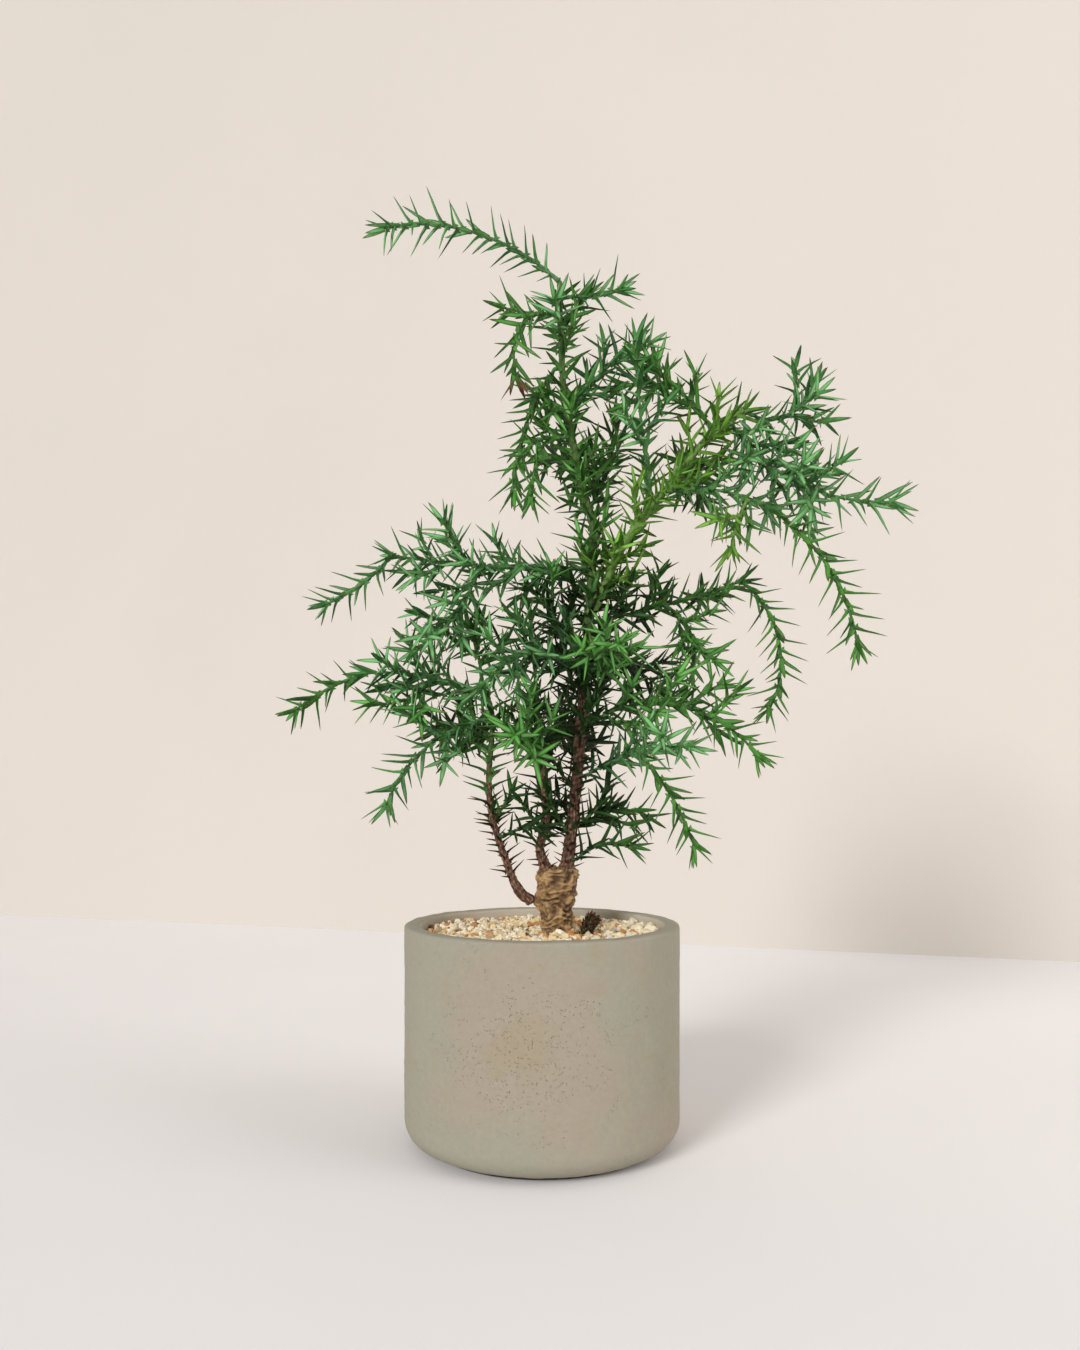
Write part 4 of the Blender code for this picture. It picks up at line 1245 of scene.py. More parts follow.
    def inner(self, points: Array) -> Array:
        """How much painted shade a point takes, by how deep in the tree it is: a bell curve round
        the leader, and more behind it.

        Args:
            points: The points.

        Returns:
            One value for each point.
        """
        leader = self.limbs["leader"].path.line
        x = np.interp(points[:, 2], leader[:, 2], leader[:, 0])
        y = np.interp(points[:, 2], leader[:, 2], leader[:, 1])
        away = np.hypot(points[:, 0] - x + self.SHADE_LEFT, points[:, 1] - y)
        low = smoothstep(points[:, 2] - TRUNK_TOP, *self.SHADE_HEIGHTS)
        behind = smoothstep(points[:, 1], *self.BEHIND_DEPTHS) * smoothstep(away, *self.BEHIND_REACH)
        middle = np.exp(-((away / self.SHADE_REACH) ** 2))
        return np.maximum(middle, behind * self.BEHIND_SHARE) * (0.08 + 0.92 * low)

    def crowding(self, points: Array) -> Array:
        """How thickly side shoots stand at points: dense low in the middle and up the leader.

        Args:
            points: The points.

        Returns:
            Values from nought to one.
        """
        leader = self.limbs["leader"].path.line
        x = np.interp(points[:, 2], leader[:, 2], leader[:, 0])
        above = points[:, 2] - TRUNK_TOP
        middle = np.hypot(points[:, 0] - self.MIDDLE_X, points[:, 1] * 0.8)
        low = smoothstep(middle, *self.MIDDLE_REACH) * smoothstep(above, *self.MIDDLE_HEIGHTS)
        low *= 0.30 + 0.56 * smoothstep(above, *self.MIDDLE_FOOT)
        high = smoothstep(np.hypot(points[:, 0] - x, points[:, 1]), *self.COLUMN_REACH)
        high *= smoothstep(above, *self.COLUMN_HEIGHTS)
        high *= smoothstep(points[:, 0] - x, *self.COLUMN_SIDE)
        fork = smoothstep(np.abs(points[:, 0] - self.FORK_X), *self.FORK_REACH)
        fork *= smoothstep(above, *self.FORK_HEIGHTS)
        return np.maximum(np.maximum(low, high * self.COLUMN_SHARE), fork * self.FORK_SHARE)

    def shoots(self, path: Path, seed: int, first: float) -> list[Path]:
        """Paths of the short side shoots that fill a limb out.

        A shoot leaves its limb at a golden angle from the last one, leaning out by 50 to 65
        degrees, and bends a little upward along its length.

        Args:
            path: The limb's path.
            seed: Seed of the shoots' differences.
            first: Distance along the limb of the first shoot.

        Returns:
            The shoots' paths.
        """
        rng = np.random.default_rng(seed)
        at = np.arange(first, path.length - 0.012, self.shoot_spacing)
        if len(at) == 0:
            return []
        centre, along, across, up = path.at(at)
        chance = rng.random(len(at))
        turn = np.arange(len(at)) * GOLDEN_TURN + rng.uniform(0, 2 * math.pi)
        lean = np.radians(rng.uniform(48, 66, len(at)))
        length = self.shoot_length * rng.uniform(0.65, 1.2, len(at))
        out = across * np.cos(turn)[:, None] + up * np.sin(turn)[:, None]
        way = along * np.cos(lean)[:, None] + out * np.sin(lean)[:, None]
        share = np.linspace(0.0, 1.0, 9)[None, :, None]
        bend = np.array((0.0, 0.0, 0.35)) + along[:, None] * 0.25
        ways = unit(way[:, None] + bend * share)
        lines = centre[:, None] + np.cumsum(ways, axis=1) * (length / 9)[:, None, None]
        lines = np.concatenate([centre[:, None], lines], axis=1)
        facing = 0.72 + 0.26 * np.abs(way[:, 1])
        kept = chance < self.crowding(centre) * facing
        return [Path(smooth_line(line, self.twig_step)) for line in lines[kept]]

    def bushy(self, path: Path, number: int, first: float) -> list[Part]:
        """The side shoots of one limb, with their needles and skins.

        Args:
            path: The limb's path.
            number: The limb's number, which seeds them.
            first: Distance along the limb of the first shoot.

        Returns:
            Their parts.
        """
        parts = []
        for k, shoot in enumerate(self.shoots(path, 500 + number, first)):
            blades = self.shoot_plan.grow(shoot, self.twig_tip, 1000 + number * 40 + k)
            skin = self.twig_skin(shoot)
            # the inner mark sets how much painted shade each needle takes
            for part in (blades, skin):
                part.marks["inner"] = self.inner(part.points)
            parts += [blades, skin]
        return parts

    def twig_skin(self, path: Path) -> Part:
        """A twig's skin: a slim tapering tube with ridges that wind along it.

        The radius is the taper times one plus a cosine of five turns less the distance.

        Args:
            path: The twig's path.

        Returns:
            The skin, as the second material.
        """
        share = (path.travelled / path.length)[:, None]
        angle = 2 * math.pi * np.arange(self.twig_sides)[None] / self.twig_sides
        taper = self.twig_radius + (self.twig_tip - self.twig_radius) * share
        ridges = 1 + 0.16 * np.cos(3 * angle - path.travelled[:, None] * 1900.0)
        collar = 1 + 0.9 * np.exp(-path.travelled[:, None] / 0.0018)
        skin = path.tube(taper * ridges * collar, finish=1)
        skin.marks["ripe"] = np.zeros(len(skin.points))
        return skin

    def dress_twig(self, twig: Twig, number: int, skins: dict, needles: dict) -> None:
        """Builds one branch or sprig and puts it in place of its node.

        Args:
            twig: The row that describes it.
            number: Its place in the list, which seeds its needles.
            skins: Twig-skin materials by tone.
            needles: Needle materials by tone.
        """
        limb = self.limbs[twig.name]
        blades = self.plan.grow(limb.path, self.twig_tip, 100 + number)
        # the inner mark sets how much painted shade each needle takes
        blades.marks["inner"] = self.inner(blades.points)
        if twig.name == "branch_crown_droop":
            lowest = blades.points[:, 2].min()
            blades.marks["dead"] = smoothstep(blades.points[:, 2], lowest + 0.014, lowest + 0.004)
        skin = self.twig_skin(limb.path)
        skin.marks["inner"] = self.inner(skin.points)
        parts = [blades, skin, *self.bushy(limb.path, number, 0.009)]
        piece = make_piece(f"{twig.name}_foliage", parts, [needles[twig.tone], skins[twig.tone]])
        place_piece(piece, limb.body, twig.tone.value, twig.name)

    def dress_stem(self, stem: Stem, number: int, bark: object, needles: dict) -> None:
        """Builds one stem: barked below, needled above, with dry thorns between.

        The radius is the taper times one plus long furrows and short uneven rings.

        Args:
            stem: The row that describes it.
            number: Its place in the list, which seeds its needles.
            bark: The bark's material.
            needles: Needle materials by tone.
        """
        limb = self.limbs[stem.name]
        path = limb.path
        share = (path.travelled / path.length)[:, None]
        angle = 2 * math.pi * np.arange(self.stem_sides)[None] / self.stem_sides
        taper = stem.radius * stem.slimness * (1 - (1 - stem.tip_share) * share)
        ring = np.broadcast_arrays(np.cos(angle) * 0.004, np.sin(angle) * 0.004, path.travelled[:, None])
        around = np.stack(ring, axis=-1)
        rough = ripple(around * (1.6, 1.6, 0.8), 0.0030, 40 + number)
        fine = ripple(around, 0.0014, 60 + number)
        scars = np.cos(2 * angle - path.travelled[:, None] * 2400.0)
        height = 0.55 * rough + 0.30 * fine + 0.35 * scars
        collar = 1 + 0.42 * np.exp(-np.maximum(path.travelled[:, None] - 0.011, 0) / 0.004)
        is_fork = stem.name == "fork_stem"
        relief = 0.05 if is_fork else 0.17
        skin = path.tube(taper * collar * (1 + relief * height), finish=1)
        # the relief height also paints the bark: ridges paler as painted highlight, furrows darker as painted
        # shade
        skin.marks["height"] = np.concatenate([height.ravel() * 0.5 + 0.5, [0.5, 0.5]])
        above = skin.points[:, 2] - TRUNK_TOP
        brown = smoothstep(above, stem.dense_from + 0.035, stem.dense_from - 0.01)
        skin.marks["ripe"] = np.zeros(len(above)) if is_fork else brown
        skin.marks["inner"] = self.inner(skin.points)
        z = path.line[:, 2] - TRUNK_TOP
        low, first, dense = (
            float(path.travelled[int(np.argmax(z > level))] / path.length)
            for level in (-0.0035, stem.needles_from, stem.dense_from)
        )
        low = max(low, 0.012 / path.length)
        if is_fork:
            first = dense = 0.06
            parts = [self.fork_plan.grow(path, stem.radius * 0.75, 20 + number, (dense, 1.0))]
        else:
            end = 0.975 if stem.name == "leader" else 1.0
            parts = [
                self.stem_plan.grow(path, stem.radius * 0.75, 20 + number, (dense, end)),
                self.low_plan.grow(path, stem.radius * 0.75, 50 + number, (first, dense)),
                self.thorn_plan.grow(path, stem.radius * 0.80, 30 + number, (low, dense)),
            ]
        # the inner mark sets how much painted shade the needles take
        for part in parts:
            part.marks["inner"] = self.inner(part.points)
        # the low needles and dry thorns all take the same share of painted shade
        if not is_fork:
            for part in parts[1:]:
                part.marks["inner"] = np.full(len(part.points), 0.62)
        parts += self.bushy(path, 80 + number, first * path.length)
        slot = "fork_green" if is_fork else "stem_bark"
        tone = Tone.YELLOW if is_fork else Tone.GREEN
        piece = make_piece(f"{stem.name}_bark", [*parts, skin], [needles[tone], bark])
        place_piece(piece, "root", slot, stem.name)

    def build(self) -> None:
        """Builds every stem, branch and sprig."""
        self.lay_out()
        needles = {tone: finish.material() for tone, finish in NEEDLES.items()}
        young = {
            Tone.BLUE: (0.085, 0.230, 0.080),
            Tone.GREEN: (0.070, 0.190, 0.045),
            Tone.DEEP: (0.035, 0.110, 0.025),
            Tone.YELLOW: (0.170, 0.310, 0.060),
        }
        browns = ((0.05, 0.03, 0.015), (0.10, 0.06, 0.03), (0.18, 0.12, 0.07))
        skins = {
            tone: Bark(f"twig_skin_{tone.value}", *browns, colour).material()
            for tone, colour in young.items()
        }
        # its pale tone is the painted highlight on ridges, its dark tone the painted shade in furrows
        bark = Bark("stem_bark", (0.026, 0.011, 0.007), (0.105, 0.046, 0.026), (0.290, 0.180, 0.115))
        bark = bark.material()
        for number, stem in enumerate(STEMS):
            is_fork = stem.name == "fork_stem"
            self.dress_stem(stem, number, skins[Tone.YELLOW] if is_fork else bark, needles)
        for number, twig in enumerate(TWIGS):
            self.dress_twig(twig, number, skins, needles)


# ---- Pot, gravel and stump -------------------------------------------------------------
@dataclass
class Pot:
    """The concrete pot, its felt pad and what fills it below the gravel."""

    floor: float = 0.009
    floor_round: float = 0.005
    foot_fillet: float = POT_FOOT_FILLET
    rim_round: float = 0.0017
    columns: int = 300
    unevenness: float = 0.00016
    pits: int = 46
    pit_heights: tuple[float, float] = (0.012, 0.094)
    pit_sizes: tuple[float, float] = (0.0005, 0.0011)
    front_pit: tuple[float, float, float] = (-0.28, 0.0455, 0.0013)

    def profile(self) -> Array:
        """The pot's half section, from under its foot, out, up and over to its inner floor.

        Returns:
            Points of (radius, height).
        """
        rim, foot, corner = self.rim_round, self.foot_fillet, self.floor_round
        low = POT_BOTTOM + self.floor

        def arc(x: float, z: float, radius: float, start: float, end: float, count: int) -> Array:
            """Points on an arc between two angles.

            Args:
                x: Its centre's radius.
                z: Its centre's height.
                radius: The arc's radius.
                start: First angle in degrees.
                end: Last angle in degrees.
                count: Number of points.

            Returns:
                The points.
            """
            angle = np.radians(np.linspace(start, end, count))
            return np.stack([x + radius * np.cos(angle), z + radius * np.sin(angle)], axis=1)

        height = np.linspace(POT_BOTTOM + foot, POT_TOP - rim, 84)[1:-1]
        inside = np.linspace(POT_TOP - rim, low + corner, 22)[1:-1]
        base = np.linspace(0.002, POT_RADIUS - foot, 10)[:-1]
        return np.vstack(
            [
                np.stack([base, np.full(len(base), POT_BOTTOM)], axis=1),
                arc(POT_RADIUS - foot, POT_BOTTOM + foot, foot, -90, 0, 12),
                np.stack([np.full(len(height), POT_RADIUS), height], axis=1),
                arc(POT_RADIUS - rim, POT_TOP - rim, rim, 0, 90, 7),
                arc(POT_INNER_RADIUS + rim, POT_TOP - rim, rim, 90, 180, 7),
                np.stack([np.full(len(inside), POT_INNER_RADIUS), inside], axis=1),
                arc(POT_INNER_RADIUS - corner, low + corner, corner, 0, -90, 6),
                np.array([[0.002, low]]),
            ]
        )

    def build(self, frame: dict) -> None:
        """Builds the pot and the pad, and gives the hidden fill its finishes.

        The pot is the profile turned about the upright axis. Its skin moves in and out by
        soft ripples, and small round pits are pressed into it as bell-shaped dents. The
        inside mark is one on the inner wall above the floor, which is painted paler: painted
        light against the shade there.

        Args:
            frame: The loaded frame.
        """
        profile = self.profile()
        rings = turned(profile, self.columns)
        way = np.gradient(profile, axis=0)
        normal = turned(unit(np.stack([way[:, 1], -way[:, 0]], axis=1)), self.columns)
        rise = ripple(rings, 0.022, 5) * 0.6 + ripple(rings, 0.007, 6) * 0.35 - 0.9
        push = rise * self.unevenness
        rng = np.random.default_rng(11)
        turn = rng.uniform(0, 2 * math.pi, self.pits)
        height = rng.uniform(*self.pit_heights, self.pits)
        centres = np.stack([POT_RADIUS * np.cos(turn), POT_RADIUS * np.sin(turn), height], axis=1)
        sizes = rng.uniform(*self.pit_sizes, self.pits)
        aside, level, sizes[0] = self.front_pit
        centres[0] = (POT_RADIUS * math.sin(aside), -POT_RADIUS * math.cos(aside), level)
        near = np.linalg.norm(rings[:, :, None] - centres, axis=-1)
        push = push - (np.exp(-((near / sizes) ** 2)) * sizes * 0.55).sum(axis=-1)
        rings = rings + normal * push[..., None]
        start = np.array((0.0, 0.0, POT_BOTTOM))
        end = np.array((0.0, 0.0, POT_BOTTOM + self.floor))
        part = closed_grid(rings, start, end)
        reach = np.hypot(part.points[:, 0], part.points[:, 1])
        # the inside mark: where the inner wall is painted paler as painted light
        above = smoothstep(part.points[:, 2], POT_BOTTOM + self.floor, GRAVEL_TOP)
        part.marks["inside"] = smoothstep(reach, POT_INNER_RADIUS + 0.0012, POT_INNER_RADIUS + 0.0002) * above
        piece = make_piece("pot_concrete", [part], [Concrete().material()], 60.0)
        place_piece(piece, "root", "concrete", "outer_pot")
        self.build_pad()
        fills = {
            "ballast": Cloudy("plaster_fill", (0.52, 0.49, 0.43), (0.66, 0.63, 0.57), 300.0, 0.0004),
            "foam_disc": Cloudy("green_foam", (0.06, 0.12, 0.05), (0.12, 0.21, 0.09), 900.0, 0.0006),
        }
        greys = ((0.42, 0.42, 0.43), (0.58, 0.58, 0.58))
        steel = Cloudy("drawn_steel", *greys, 1200.0, 0.00004, 0.36, 1.0, (1, 1, 0.05))
        fills |= {name: steel for name in ("wire_leader", "wire_left", "wire_middle")}
        made = {}
        for name, finish in fills.items():
            made.setdefault(finish.name, finish.material())
            node = frame["nodes"][name]
            node.data.materials.clear()
            node.data.materials.append(made[finish.name])

    def build_pad(self) -> None:
        """Builds the felt pad: a disc with a rounded, fuzzy edge, near black as painted shadow under the
        foot.
        """
        radius = POT_RADIUS - self.foot_fillet - 0.0008
        thick = POT_BOTTOM - GAP
        turn = np.radians(np.linspace(-90, 90, 9))
        half = thick / 2
        edge = np.stack([radius - half + np.cos(turn) * half, half + np.sin(turn) * half], axis=1)
        flat = np.linspace(0.003, radius - thick, 16)
        profile = np.vstack(
            [
                np.stack([flat, np.zeros(16)], axis=1),
                edge,
                np.stack([flat[::-1], np.full(16, thick)], axis=1),
            ]
        )
        rings = turned(profile, 180)
        fuzz = 1 + ripple(rings, 0.0025, 8)[..., None] * np.array((0.0012, 0.0012, 0.0))
        part = closed_grid(rings * fuzz, np.array((0.0, 0.0, 0.0)), np.array((0.0, 0.0, thick)))
        # the felt is near black, which paints the shadow line under the pot's foot
        felt = Cloudy("dark_felt", (0.030, 0.026, 0.022), (0.070, 0.060, 0.050), 1500.0, 0.0004, 0.95)
        place_piece(make_piece("pad_felt", [part], [felt.material()]), "root", "felt", "base_pad")


@dataclass
class GravelBed:
    """Crushed stones glued over a crust, round the stump and the dead stub."""

    stones: int = 1500
    smallest: float = 0.0012
    largest: float = 0.0028
    reach: float = 0.0570
    bare: float = 0.0066
    crumbs: tuple[float, float] = (0.0165, -0.0095)
    sides: int = 7
    planes: int = 10

    LEVELS = np.radians((-52.0, -18.0, 18.0, 52.0))[:, None]

    def crust(self) -> Part:
        """The glued crust under the stones: a disc that rises and falls by ripples.

        Returns:
            The part.
        """
        rim = POT_INNER_RADIUS - GAP
        top, bottom = GRAVEL_TOP - 0.0014, GRAVEL_TOP - 0.0099
        radius = np.concatenate([np.linspace(0.002, rim, 40), [rim, 0.004]])
        height = np.concatenate([np.full(40, top), [bottom, bottom]])
        rings = turned(np.stack([radius, height], axis=1), 120)
        rings[:40, :, 2] += ripple(rings[:40], 0.004, 21) * 0.0004
        part = closed_grid(rings[::-1], np.array((0.0, 0.0, bottom)), np.array((0.0, 0.0, top)), 1)
        part.marks["chance"] = np.full(len(part.points), 0.93)
        return part

    def scatter(self, rng: np.random.Generator) -> tuple[Array, Array]:
        """Even but irregular places: a sunflower spiral, jittered, less the stump's place.

        Args:
            rng: The random source.

        Returns:
            Stone centres and their sizes.
        """
        index = np.arange(self.stones)
        radius = self.reach * np.sqrt((index + 0.5) / self.stones)
        turn = index * GOLDEN_TURN
        place = np.stack([radius * np.cos(turn), radius * np.sin(turn)], axis=1)
        place += rng.normal(0, 0.0007, place.shape)
        size = self.smallest + (self.largest - self.smallest) * rng.random(self.stones) ** 1.7
        away = np.hypot(place[:, 0] - TRUNK_X, place[:, 1])
        far = np.hypot(place[:, 0], place[:, 1])
        kept = (away > self.bare) & (far + size * 0.8 < POT_INNER_RADIUS - GAP)
        height = GRAVEL_TOP - 0.0009 + rng.uniform(-0.0006, 0.0009, self.stones)
        height += 0.0012 * np.exp(-(((away - self.bare) / 0.004) ** 2))
        height += 0.0010 * smoothstep(far, 0.046, POT_INNER_RADIUS)
        return np.column_stack([place, height])[kept], size[kept]

    def shapes(self, count: int, size: Array, rng: np.random.Generator) -> Array:
        """Crushed shapes: in each direction the nearest of several random cutting planes.

        Args:
            count: Number of stones.
            size: Their sizes.
            rng: The random source.

        Returns:
            Points of shape (count, corners, 3): a ring for each level, then two poles.
        """
        turn = 2 * math.pi * np.arange(self.sides)[None] / self.sides
        level = np.cos(self.LEVELS)
        ring = np.broadcast_arrays(level * np.cos(turn), level * np.sin(turn), np.sin(self.LEVELS))
        ring = np.stack(ring, axis=-1)
        ways = np.vstack([ring.reshape(-1, 3), (0, 0, -1), (0, 0, 1)])
        planes = unit(rng.normal(size=(count, self.planes, 3)))
        depth = rng.uniform(0.55, 1.0, (count, self.planes))
        facing = np.maximum(np.einsum("pk,nqk->npq", ways, planes), 0.2)
        reach = np.minimum((depth[:, None] / facing).min(axis=2), 1.25)
        body = ways[None] * reach[..., None] * (size[:, None, None] * rng.uniform(0.62, 1.2, (count, 1, 3)))
        axis = unit(rng.normal(size=(count, 3)))
        spin = rng.uniform(0, 2 * math.pi, count)[:, None, None]
        cross = np.cross(axis[:, None], body)
        dot = np.einsum("nk,npk->np", axis, body)[..., None]
        return body * np.cos(spin) + cross * np.sin(spin) + axis[:, None] * dot * (1 - np.cos(spin))

    def build(self) -> None:
        """Builds the bed in one piece and puts it in place of its node."""
        rng = np.random.default_rng(17)
        centres, size = self.scatter(rng)
        count = len(centres)
        blocks = self.shapes(count, size, rng) + centres[:, None]
        rows, sides = len(self.LEVELS), self.sides
        pole = rows * sides
        corners = pole + 2
        shift = (np.arange(count) * corners)[:, None, None]
        quads = ring_quads(rows, sides)[None] + shift
        around = np.arange(sides)
        after = (around + 1) % sides
        last = pole - sides
        low = np.stack([np.full(sides, pole), after, around], axis=1)
        high = np.stack([np.full(sides, pole + 1), last + around, last + after], axis=1)
        tris = np.vstack([low, high])[None] + shift
        chance = rng.random(count)
        crumb = np.linalg.norm(centres[:, :2] - self.crumbs, axis=1) < 0.0048
        chance[crumb] = 0.80
        marks = {"chance": np.repeat(chance, corners)}
        stones = Part(blocks.reshape(-1, 3), quads.reshape(-1, 4), tris.reshape(-1, 3), marks)
        finish = Stones().material()
        crust = Cloudy("glued_crust", (0.16, 0.11, 0.065), (0.38, 0.28, 0.17), 700.0, 0.0006)
        piece = make_piece("gravel_stones", [stones, self.crust()], [finish, crust.material()], 22.0)
        place_piece(piece, "root", "gravel", "gravel_bed")


@dataclass
class Stump:
    """The moulded stump, and the dead stub beside it."""

    columns: int = 160
    rows: int = 130
    sunk: float = 0.0030
    stub_place: tuple[float, float] = (0.0205, -0.0055)

    def build(self) -> None:
        """Builds the stump: a turned body with wrinkled rings and shoulders at its stems.

        Its radius at height z and angle a is the taper, plus a bell-shaped shoulder toward
        each stem near the top, plus level wrinkles whose phase wanders with the angle.
        """
        share = np.linspace(0.0, 1.0, self.rows)[:, None]
        low = GRAVEL_TOP - self.sunk
        z = low + (TRUNK_TOP + 0.0010 - low) * share
        angle = 2 * math.pi * np.arange(self.columns)[None] / self.columns
        above = z - GRAVEL_TOP
        heights = (-0.003, 0.0, 0.004, 0.012, 0.020, 0.026, 0.0295, 0.0310)
        taper = np.interp(above, heights, (8.4, 7.7, 7.3, 7.7, 8.5, 9.0, 8.9, 8.0)) * 0.001
        place = np.stack(np.broadcast_arrays(np.cos(angle) * 0.008, np.sin(angle) * 0.008, z), axis=-1)
        shoulder = np.zeros_like(taper * angle)
        for heading, height, tall, wide, size in (
            (0.0, 0.027, 0.010, 0.55, 0.0012),
            (211.0, 0.029, 0.007, 0.50, 0.0008),
            (187.0, 0.0158, 0.0052, 0.42, 0.0030),
            (300.0, 0.020, 0.004, 0.60, 0.0005),
        ):
            gone = np.angle(np.exp(1j * (angle - math.radians(heading))))
            shoulder = shoulder + size * np.exp(-(((above - height) / tall) ** 2) - (gone / wide) ** 2)
        drift = ripple(place * (1.0, 1.0, 0.7), 0.0095, 31) * 2.3
        wrinkles = np.sin(above * 2 * math.pi / 0.0034 + drift * 1.5) * 0.00030
        wrinkles = wrinkles + np.sin(above * 2 * math.pi / 0.0019 + drift * 2.6 + 1.0) * 0.00016
        wrinkles = wrinkles * (0.20 + 0.80 * smoothstep(ripple(place, 0.010, 37), -0.7, 0.8))
        lumps = ripple(place, 0.0075, 32) * 0.00062 + ripple(place, 0.0026, 33) * 0.00034
        crease = -0.00045 * np.exp(-((ripple(place * (1, 1, 0.7), 0.009, 34) / 0.22) ** 2))
        ease = smoothstep(above, -0.002, 0.004) * 0.8 + 0.2
        radius = taper + shoulder + (wrinkles * ease + lumps + crease)
        # the relief height also paints the stump's tone: paler on ridges and lumps as painted highlight,
        # darker in wrinkles and creases as painted shade
        height = (wrinkles / 0.0004 + lumps / 0.0009 + crease / 0.0009).clip(-1, 1)
        rings = np.stack(
            [
                TRUNK_X + radius * np.cos(angle),
                radius * np.sin(angle),
                np.broadcast_to(z, radius.shape),
            ],
            axis=2,
        )
        inner = np.linspace(0.86, 0.12, 16)[:, None]
        cap = np.stack(
            [
                TRUNK_X + radius[-1] * inner * np.cos(angle),
                radius[-1] * inner * np.sin(angle),
                np.broadcast_to(z[-1] + 0.0006 * (1 - inner**2), (16, self.columns)),
            ],
            axis=2,
        )
        cap[..., 2] += ripple(cap, 0.0035, 35) * 0.00075
        rings = np.vstack([rings, cap])
        marks = np.concatenate([height.ravel(), ripple(cap, 0.002, 36).ravel() * 0.4 - 0.3, [0.0, 0.0]])
        top = z[-1, 0] + 0.0006
        part = closed_grid(rings, np.array((TRUNK_X, 0.0, low)), np.array((TRUNK_X, 0.0, top)))
        part.marks["height"] = marks * 0.5 + 0.5
        part.marks["ripe"] = np.ones(len(part.points))
        # its pale tone is the painted highlight on ridges, its dark tone the painted shade in creases
        bark = Bark(
            "stump_bark",
            (0.062, 0.032, 0.014),
            (0.215, 0.122, 0.050),
            (0.430, 0.275, 0.125),
            fibre=(0.35, 0.35, 1.0),
            scale=700.0,
        )
        piece = make_piece("stump_bark", [part], [bark.material()], 75.0)
        place_piece(piece, "root", "stump_bark", "trunk_base")
        self.build_stub()

    def build_stub(self) -> None:
        """Builds the dead stub: a short leaning core covered in stiff dark scales."""
        x, y = self.stub_place
        points = [
            (x, y, GRAVEL_TOP - 0.0050),
            (x, y, GRAVEL_TOP - 0.0008),
            (x + 0.0014, y - 0.0006, GRAVEL_TOP + 0.0038),
            (x + 0.0042, y - 0.0010, GRAVEL_TOP + 0.0078),
        ]
        path = Path(smooth_line(points, 0.0005))
        share = (path.travelled / path.length)[:, None]
        angle = 2 * math.pi * np.arange(20)[None] / 20
        radius = 0.0030 * np.interp(share, (0.0, 0.45, 0.80, 1.0), (0.50, 0.72, 1.0, 0.62))
        radius = radius * (1 + 0.08 * np.cos(5 * angle - path.travelled[:, None] * 2500.0))
        core = path.tube(radius, finish=1)
        core.marks["ripe"] = np.ones(len(core.points))
        core.marks["height"] = np.full(len(core.points), 0.35)
        scales = NeedlePlan(
            spacing=0.00016, length=0.0034, lean=40.0, half_width=0.00090, keel=0.0007, start=0.0042, bud=9,
            bud_length=0.002, dead=1.0,
        ).grow(path, 0.0042, 77)
        dark = Needle("dead_scales", (0.022, 0.010, 0.006), (0.070, 0.028, 0.015), (0.130, 0.058, 0.030))
        core_bark = Bark("dead_bark", (0.015, 0.009, 0.006), (0.040, 0.024, 0.014), (0.090, 0.055, 0.032))
        scales.marks.pop("dead")
        piece = make_piece("stub_scales", [scales, core], [dark.material(), core_bark.material()])
        place_piece(piece, "root", "dead_wood", "dead_stub")


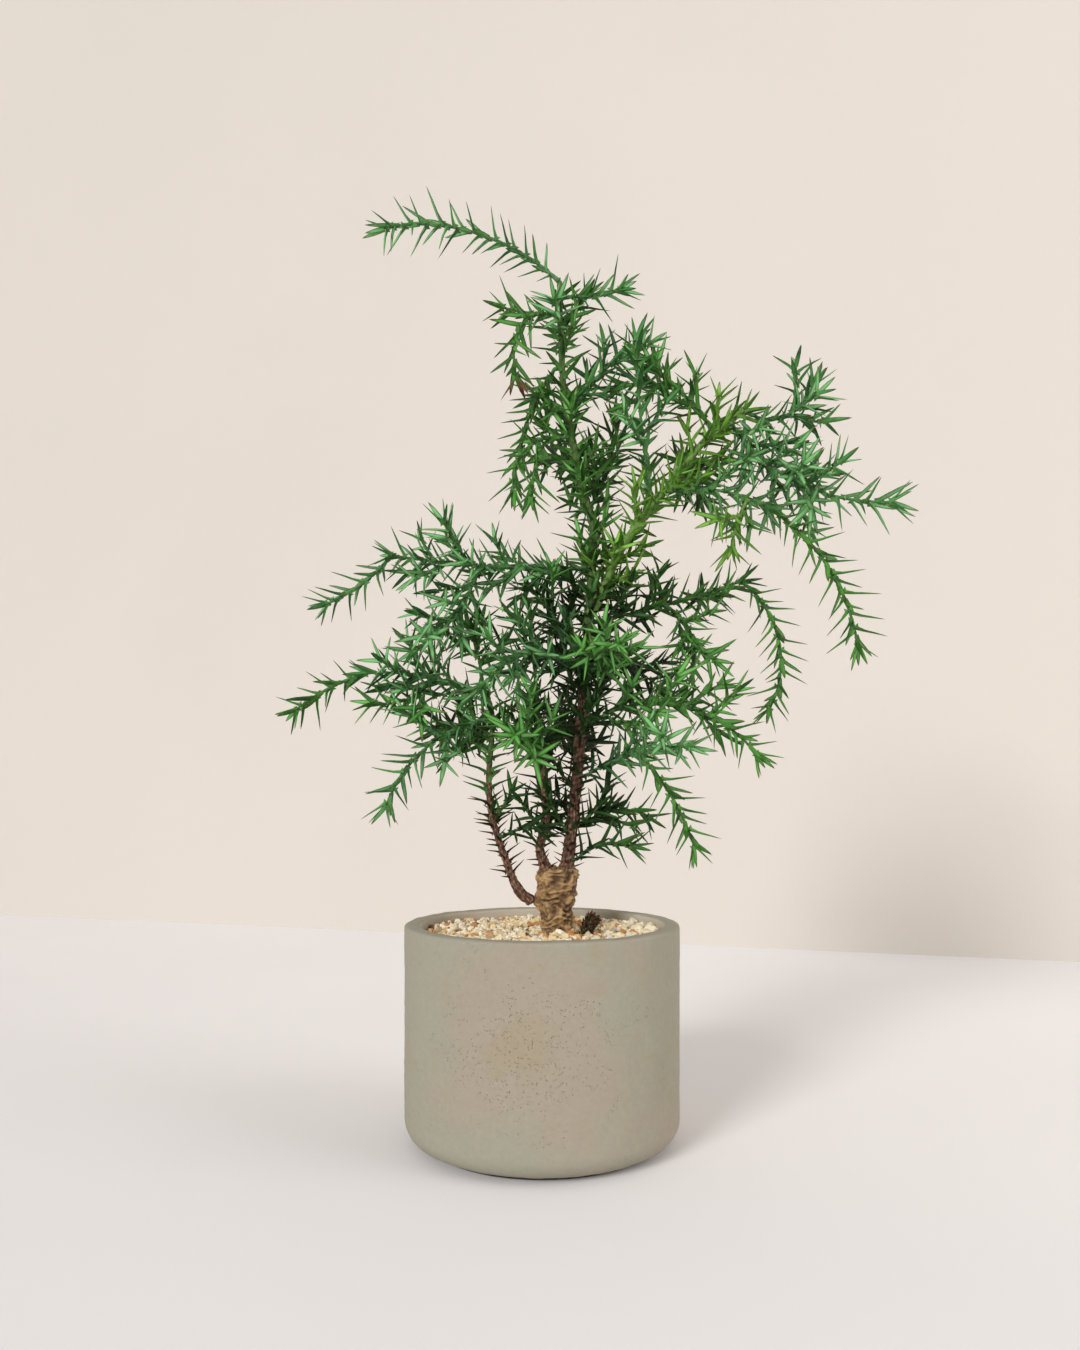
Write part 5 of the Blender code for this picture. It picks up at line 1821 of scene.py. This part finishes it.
# ---- Studio ----------------------------------------------------------------------------
@dataclass(frozen=True)
class Studio:
    """A pale floor, a pale wall that meets it in a clean line, soft light and the camera."""

    eye: Point = (0.0, -0.5067, 0.1705)
    lens: float = 28.0
    shift: tuple[float, float] = (-0.0015, 0.0815)
    wall_left: tuple[float, float] = (-0.719, 0.8765)
    wall_right: tuple[float, float] = (0.5135, 0.5067)
    wall_height: float = 4.0
    key_strength: float = 2.45
    key_softness: float = 0.34
    key_way: Point = (0.52, 0.77, -0.375)
    sky_colour: Colour = (1.0, 0.995, 0.985)
    sky_strength: float = 0.46

    def sheet(self, name: str, corners: list[Point], low: Colour, high: Colour) -> None:
        """One flat stage sheet with a faint cloudy tone.

        Args:
            name: Its name.
            corners: Its four corners.
            low: The darker tone.
            high: The paler tone.
        """
        mesh = bpy.data.meshes.new(name)
        mesh.from_pydata(corners, [], [(0, 1, 2, 3)])
        graph = Graph(name)
        cloud = graph.between(graph.noise(graph.where(), 3.0, 2.0), 0.35, 0.65)
        mesh.materials.append(graph.done(graph.mix(cloud, low, high), 0.9, 0.1))
        sheet = bpy.data.objects.new(name, mesh)
        bpy.context.scene.collection.objects.link(sheet)

    def lamp(self, name: str, place: Point, aim: Point, size: float, power: float, colour: Colour) -> None:
        """A square soft lamp.

        Args:
            name: Its name.
            place: Where it stands.
            aim: The point that it faces.
            size: Its side.
            power: Its power in watts.
            colour: Its colour.
        """
        light = bpy.data.lights.new(name, "AREA")
        light.shape = "SQUARE"
        light.size = size
        light.energy = power
        light.color = colour
        lamp = bpy.data.objects.new(name, light)
        lamp.location = place
        lamp.rotation_euler = (Vector(aim) - Vector(place)).to_track_quat("-Z", "Y").to_euler()
        bpy.context.scene.collection.objects.link(lamp)

    def key_light(self) -> None:
        """The main light: a soft-edged sun from the front left, 22 degrees up."""
        light = bpy.data.lights.new("key", "SUN")
        light.energy = self.key_strength
        light.angle = self.key_softness
        key = bpy.data.objects.new("key", light)
        key.rotation_euler = Vector(self.key_way).to_track_quat("-Z", "Y").to_euler()
        bpy.context.scene.collection.objects.link(key)

    def build(self) -> None:
        """Builds the stage, the lights and the camera."""
        (x0, y0), (x1, y1) = self.wall_left, self.wall_right
        dx, dy = x1 - x0, y1 - y0
        left = (x0 - 3 * dx, y0 - 3 * dy)
        right = (x1 + 3 * dx, y1 + 3 * dy)
        self.sheet(
            "floor",
            [(-5, -4, 0), (6, -4, 0), (right[0], right[1], 0), (left[0], left[1], 0)],
            (0.804, 0.779, 0.778),
            (0.818, 0.793, 0.792),
        )
        self.sheet(
            "wall",
            [(*left, 0), (*right, 0), (*right, self.wall_height), (*left, self.wall_height)],
            (0.584, 0.538, 0.484),
            (0.593, 0.546, 0.493),
        )
        world = bpy.data.worlds.new("studio")
        world.use_nodes = True
        sky = world.node_tree.nodes["Background"]
        sky.inputs["Color"].default_value = (*self.sky_colour, 1.0)
        sky.inputs["Strength"].default_value = self.sky_strength
        bpy.context.scene.world = world
        self.key_light()
        self.lamp("fill", (3.4, -0.9, 1.2), (0.0, 0.0, 0.15), 3.2, 100.0, (1.0, 0.99, 0.98))
        lens = bpy.data.cameras.new("camera")
        lens.lens = self.lens
        lens.shift_x, lens.shift_y = self.shift
        lens.clip_start = 0.01
        camera = bpy.data.objects.new("camera", lens)
        camera.location = self.eye
        camera.rotation_euler = (math.radians(90.0), 0.0, 0.0)
        bpy.context.scene.collection.objects.link(camera)
        bpy.context.scene.camera = camera
        bpy.context.scene.view_settings.view_transform = "Standard"


def corners(box: tuple) -> list[list[float]]:
    """A box's two corners as plain lists of numbers."""
    return [[float(value) for value in corner] for corner in box]


def main() -> None:
    """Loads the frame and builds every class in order."""
    logging.basicConfig(level=logging.INFO, format="%(name)s: %(message)s")
    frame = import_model()
    bpy.context.view_layer.update()
    Pot().build(frame)
    GravelBed().build()
    Stump().build()
    Foliage().build()
    Studio().build()
    bpy.context.view_layer.update()


if __name__ == "__main__":
    main()
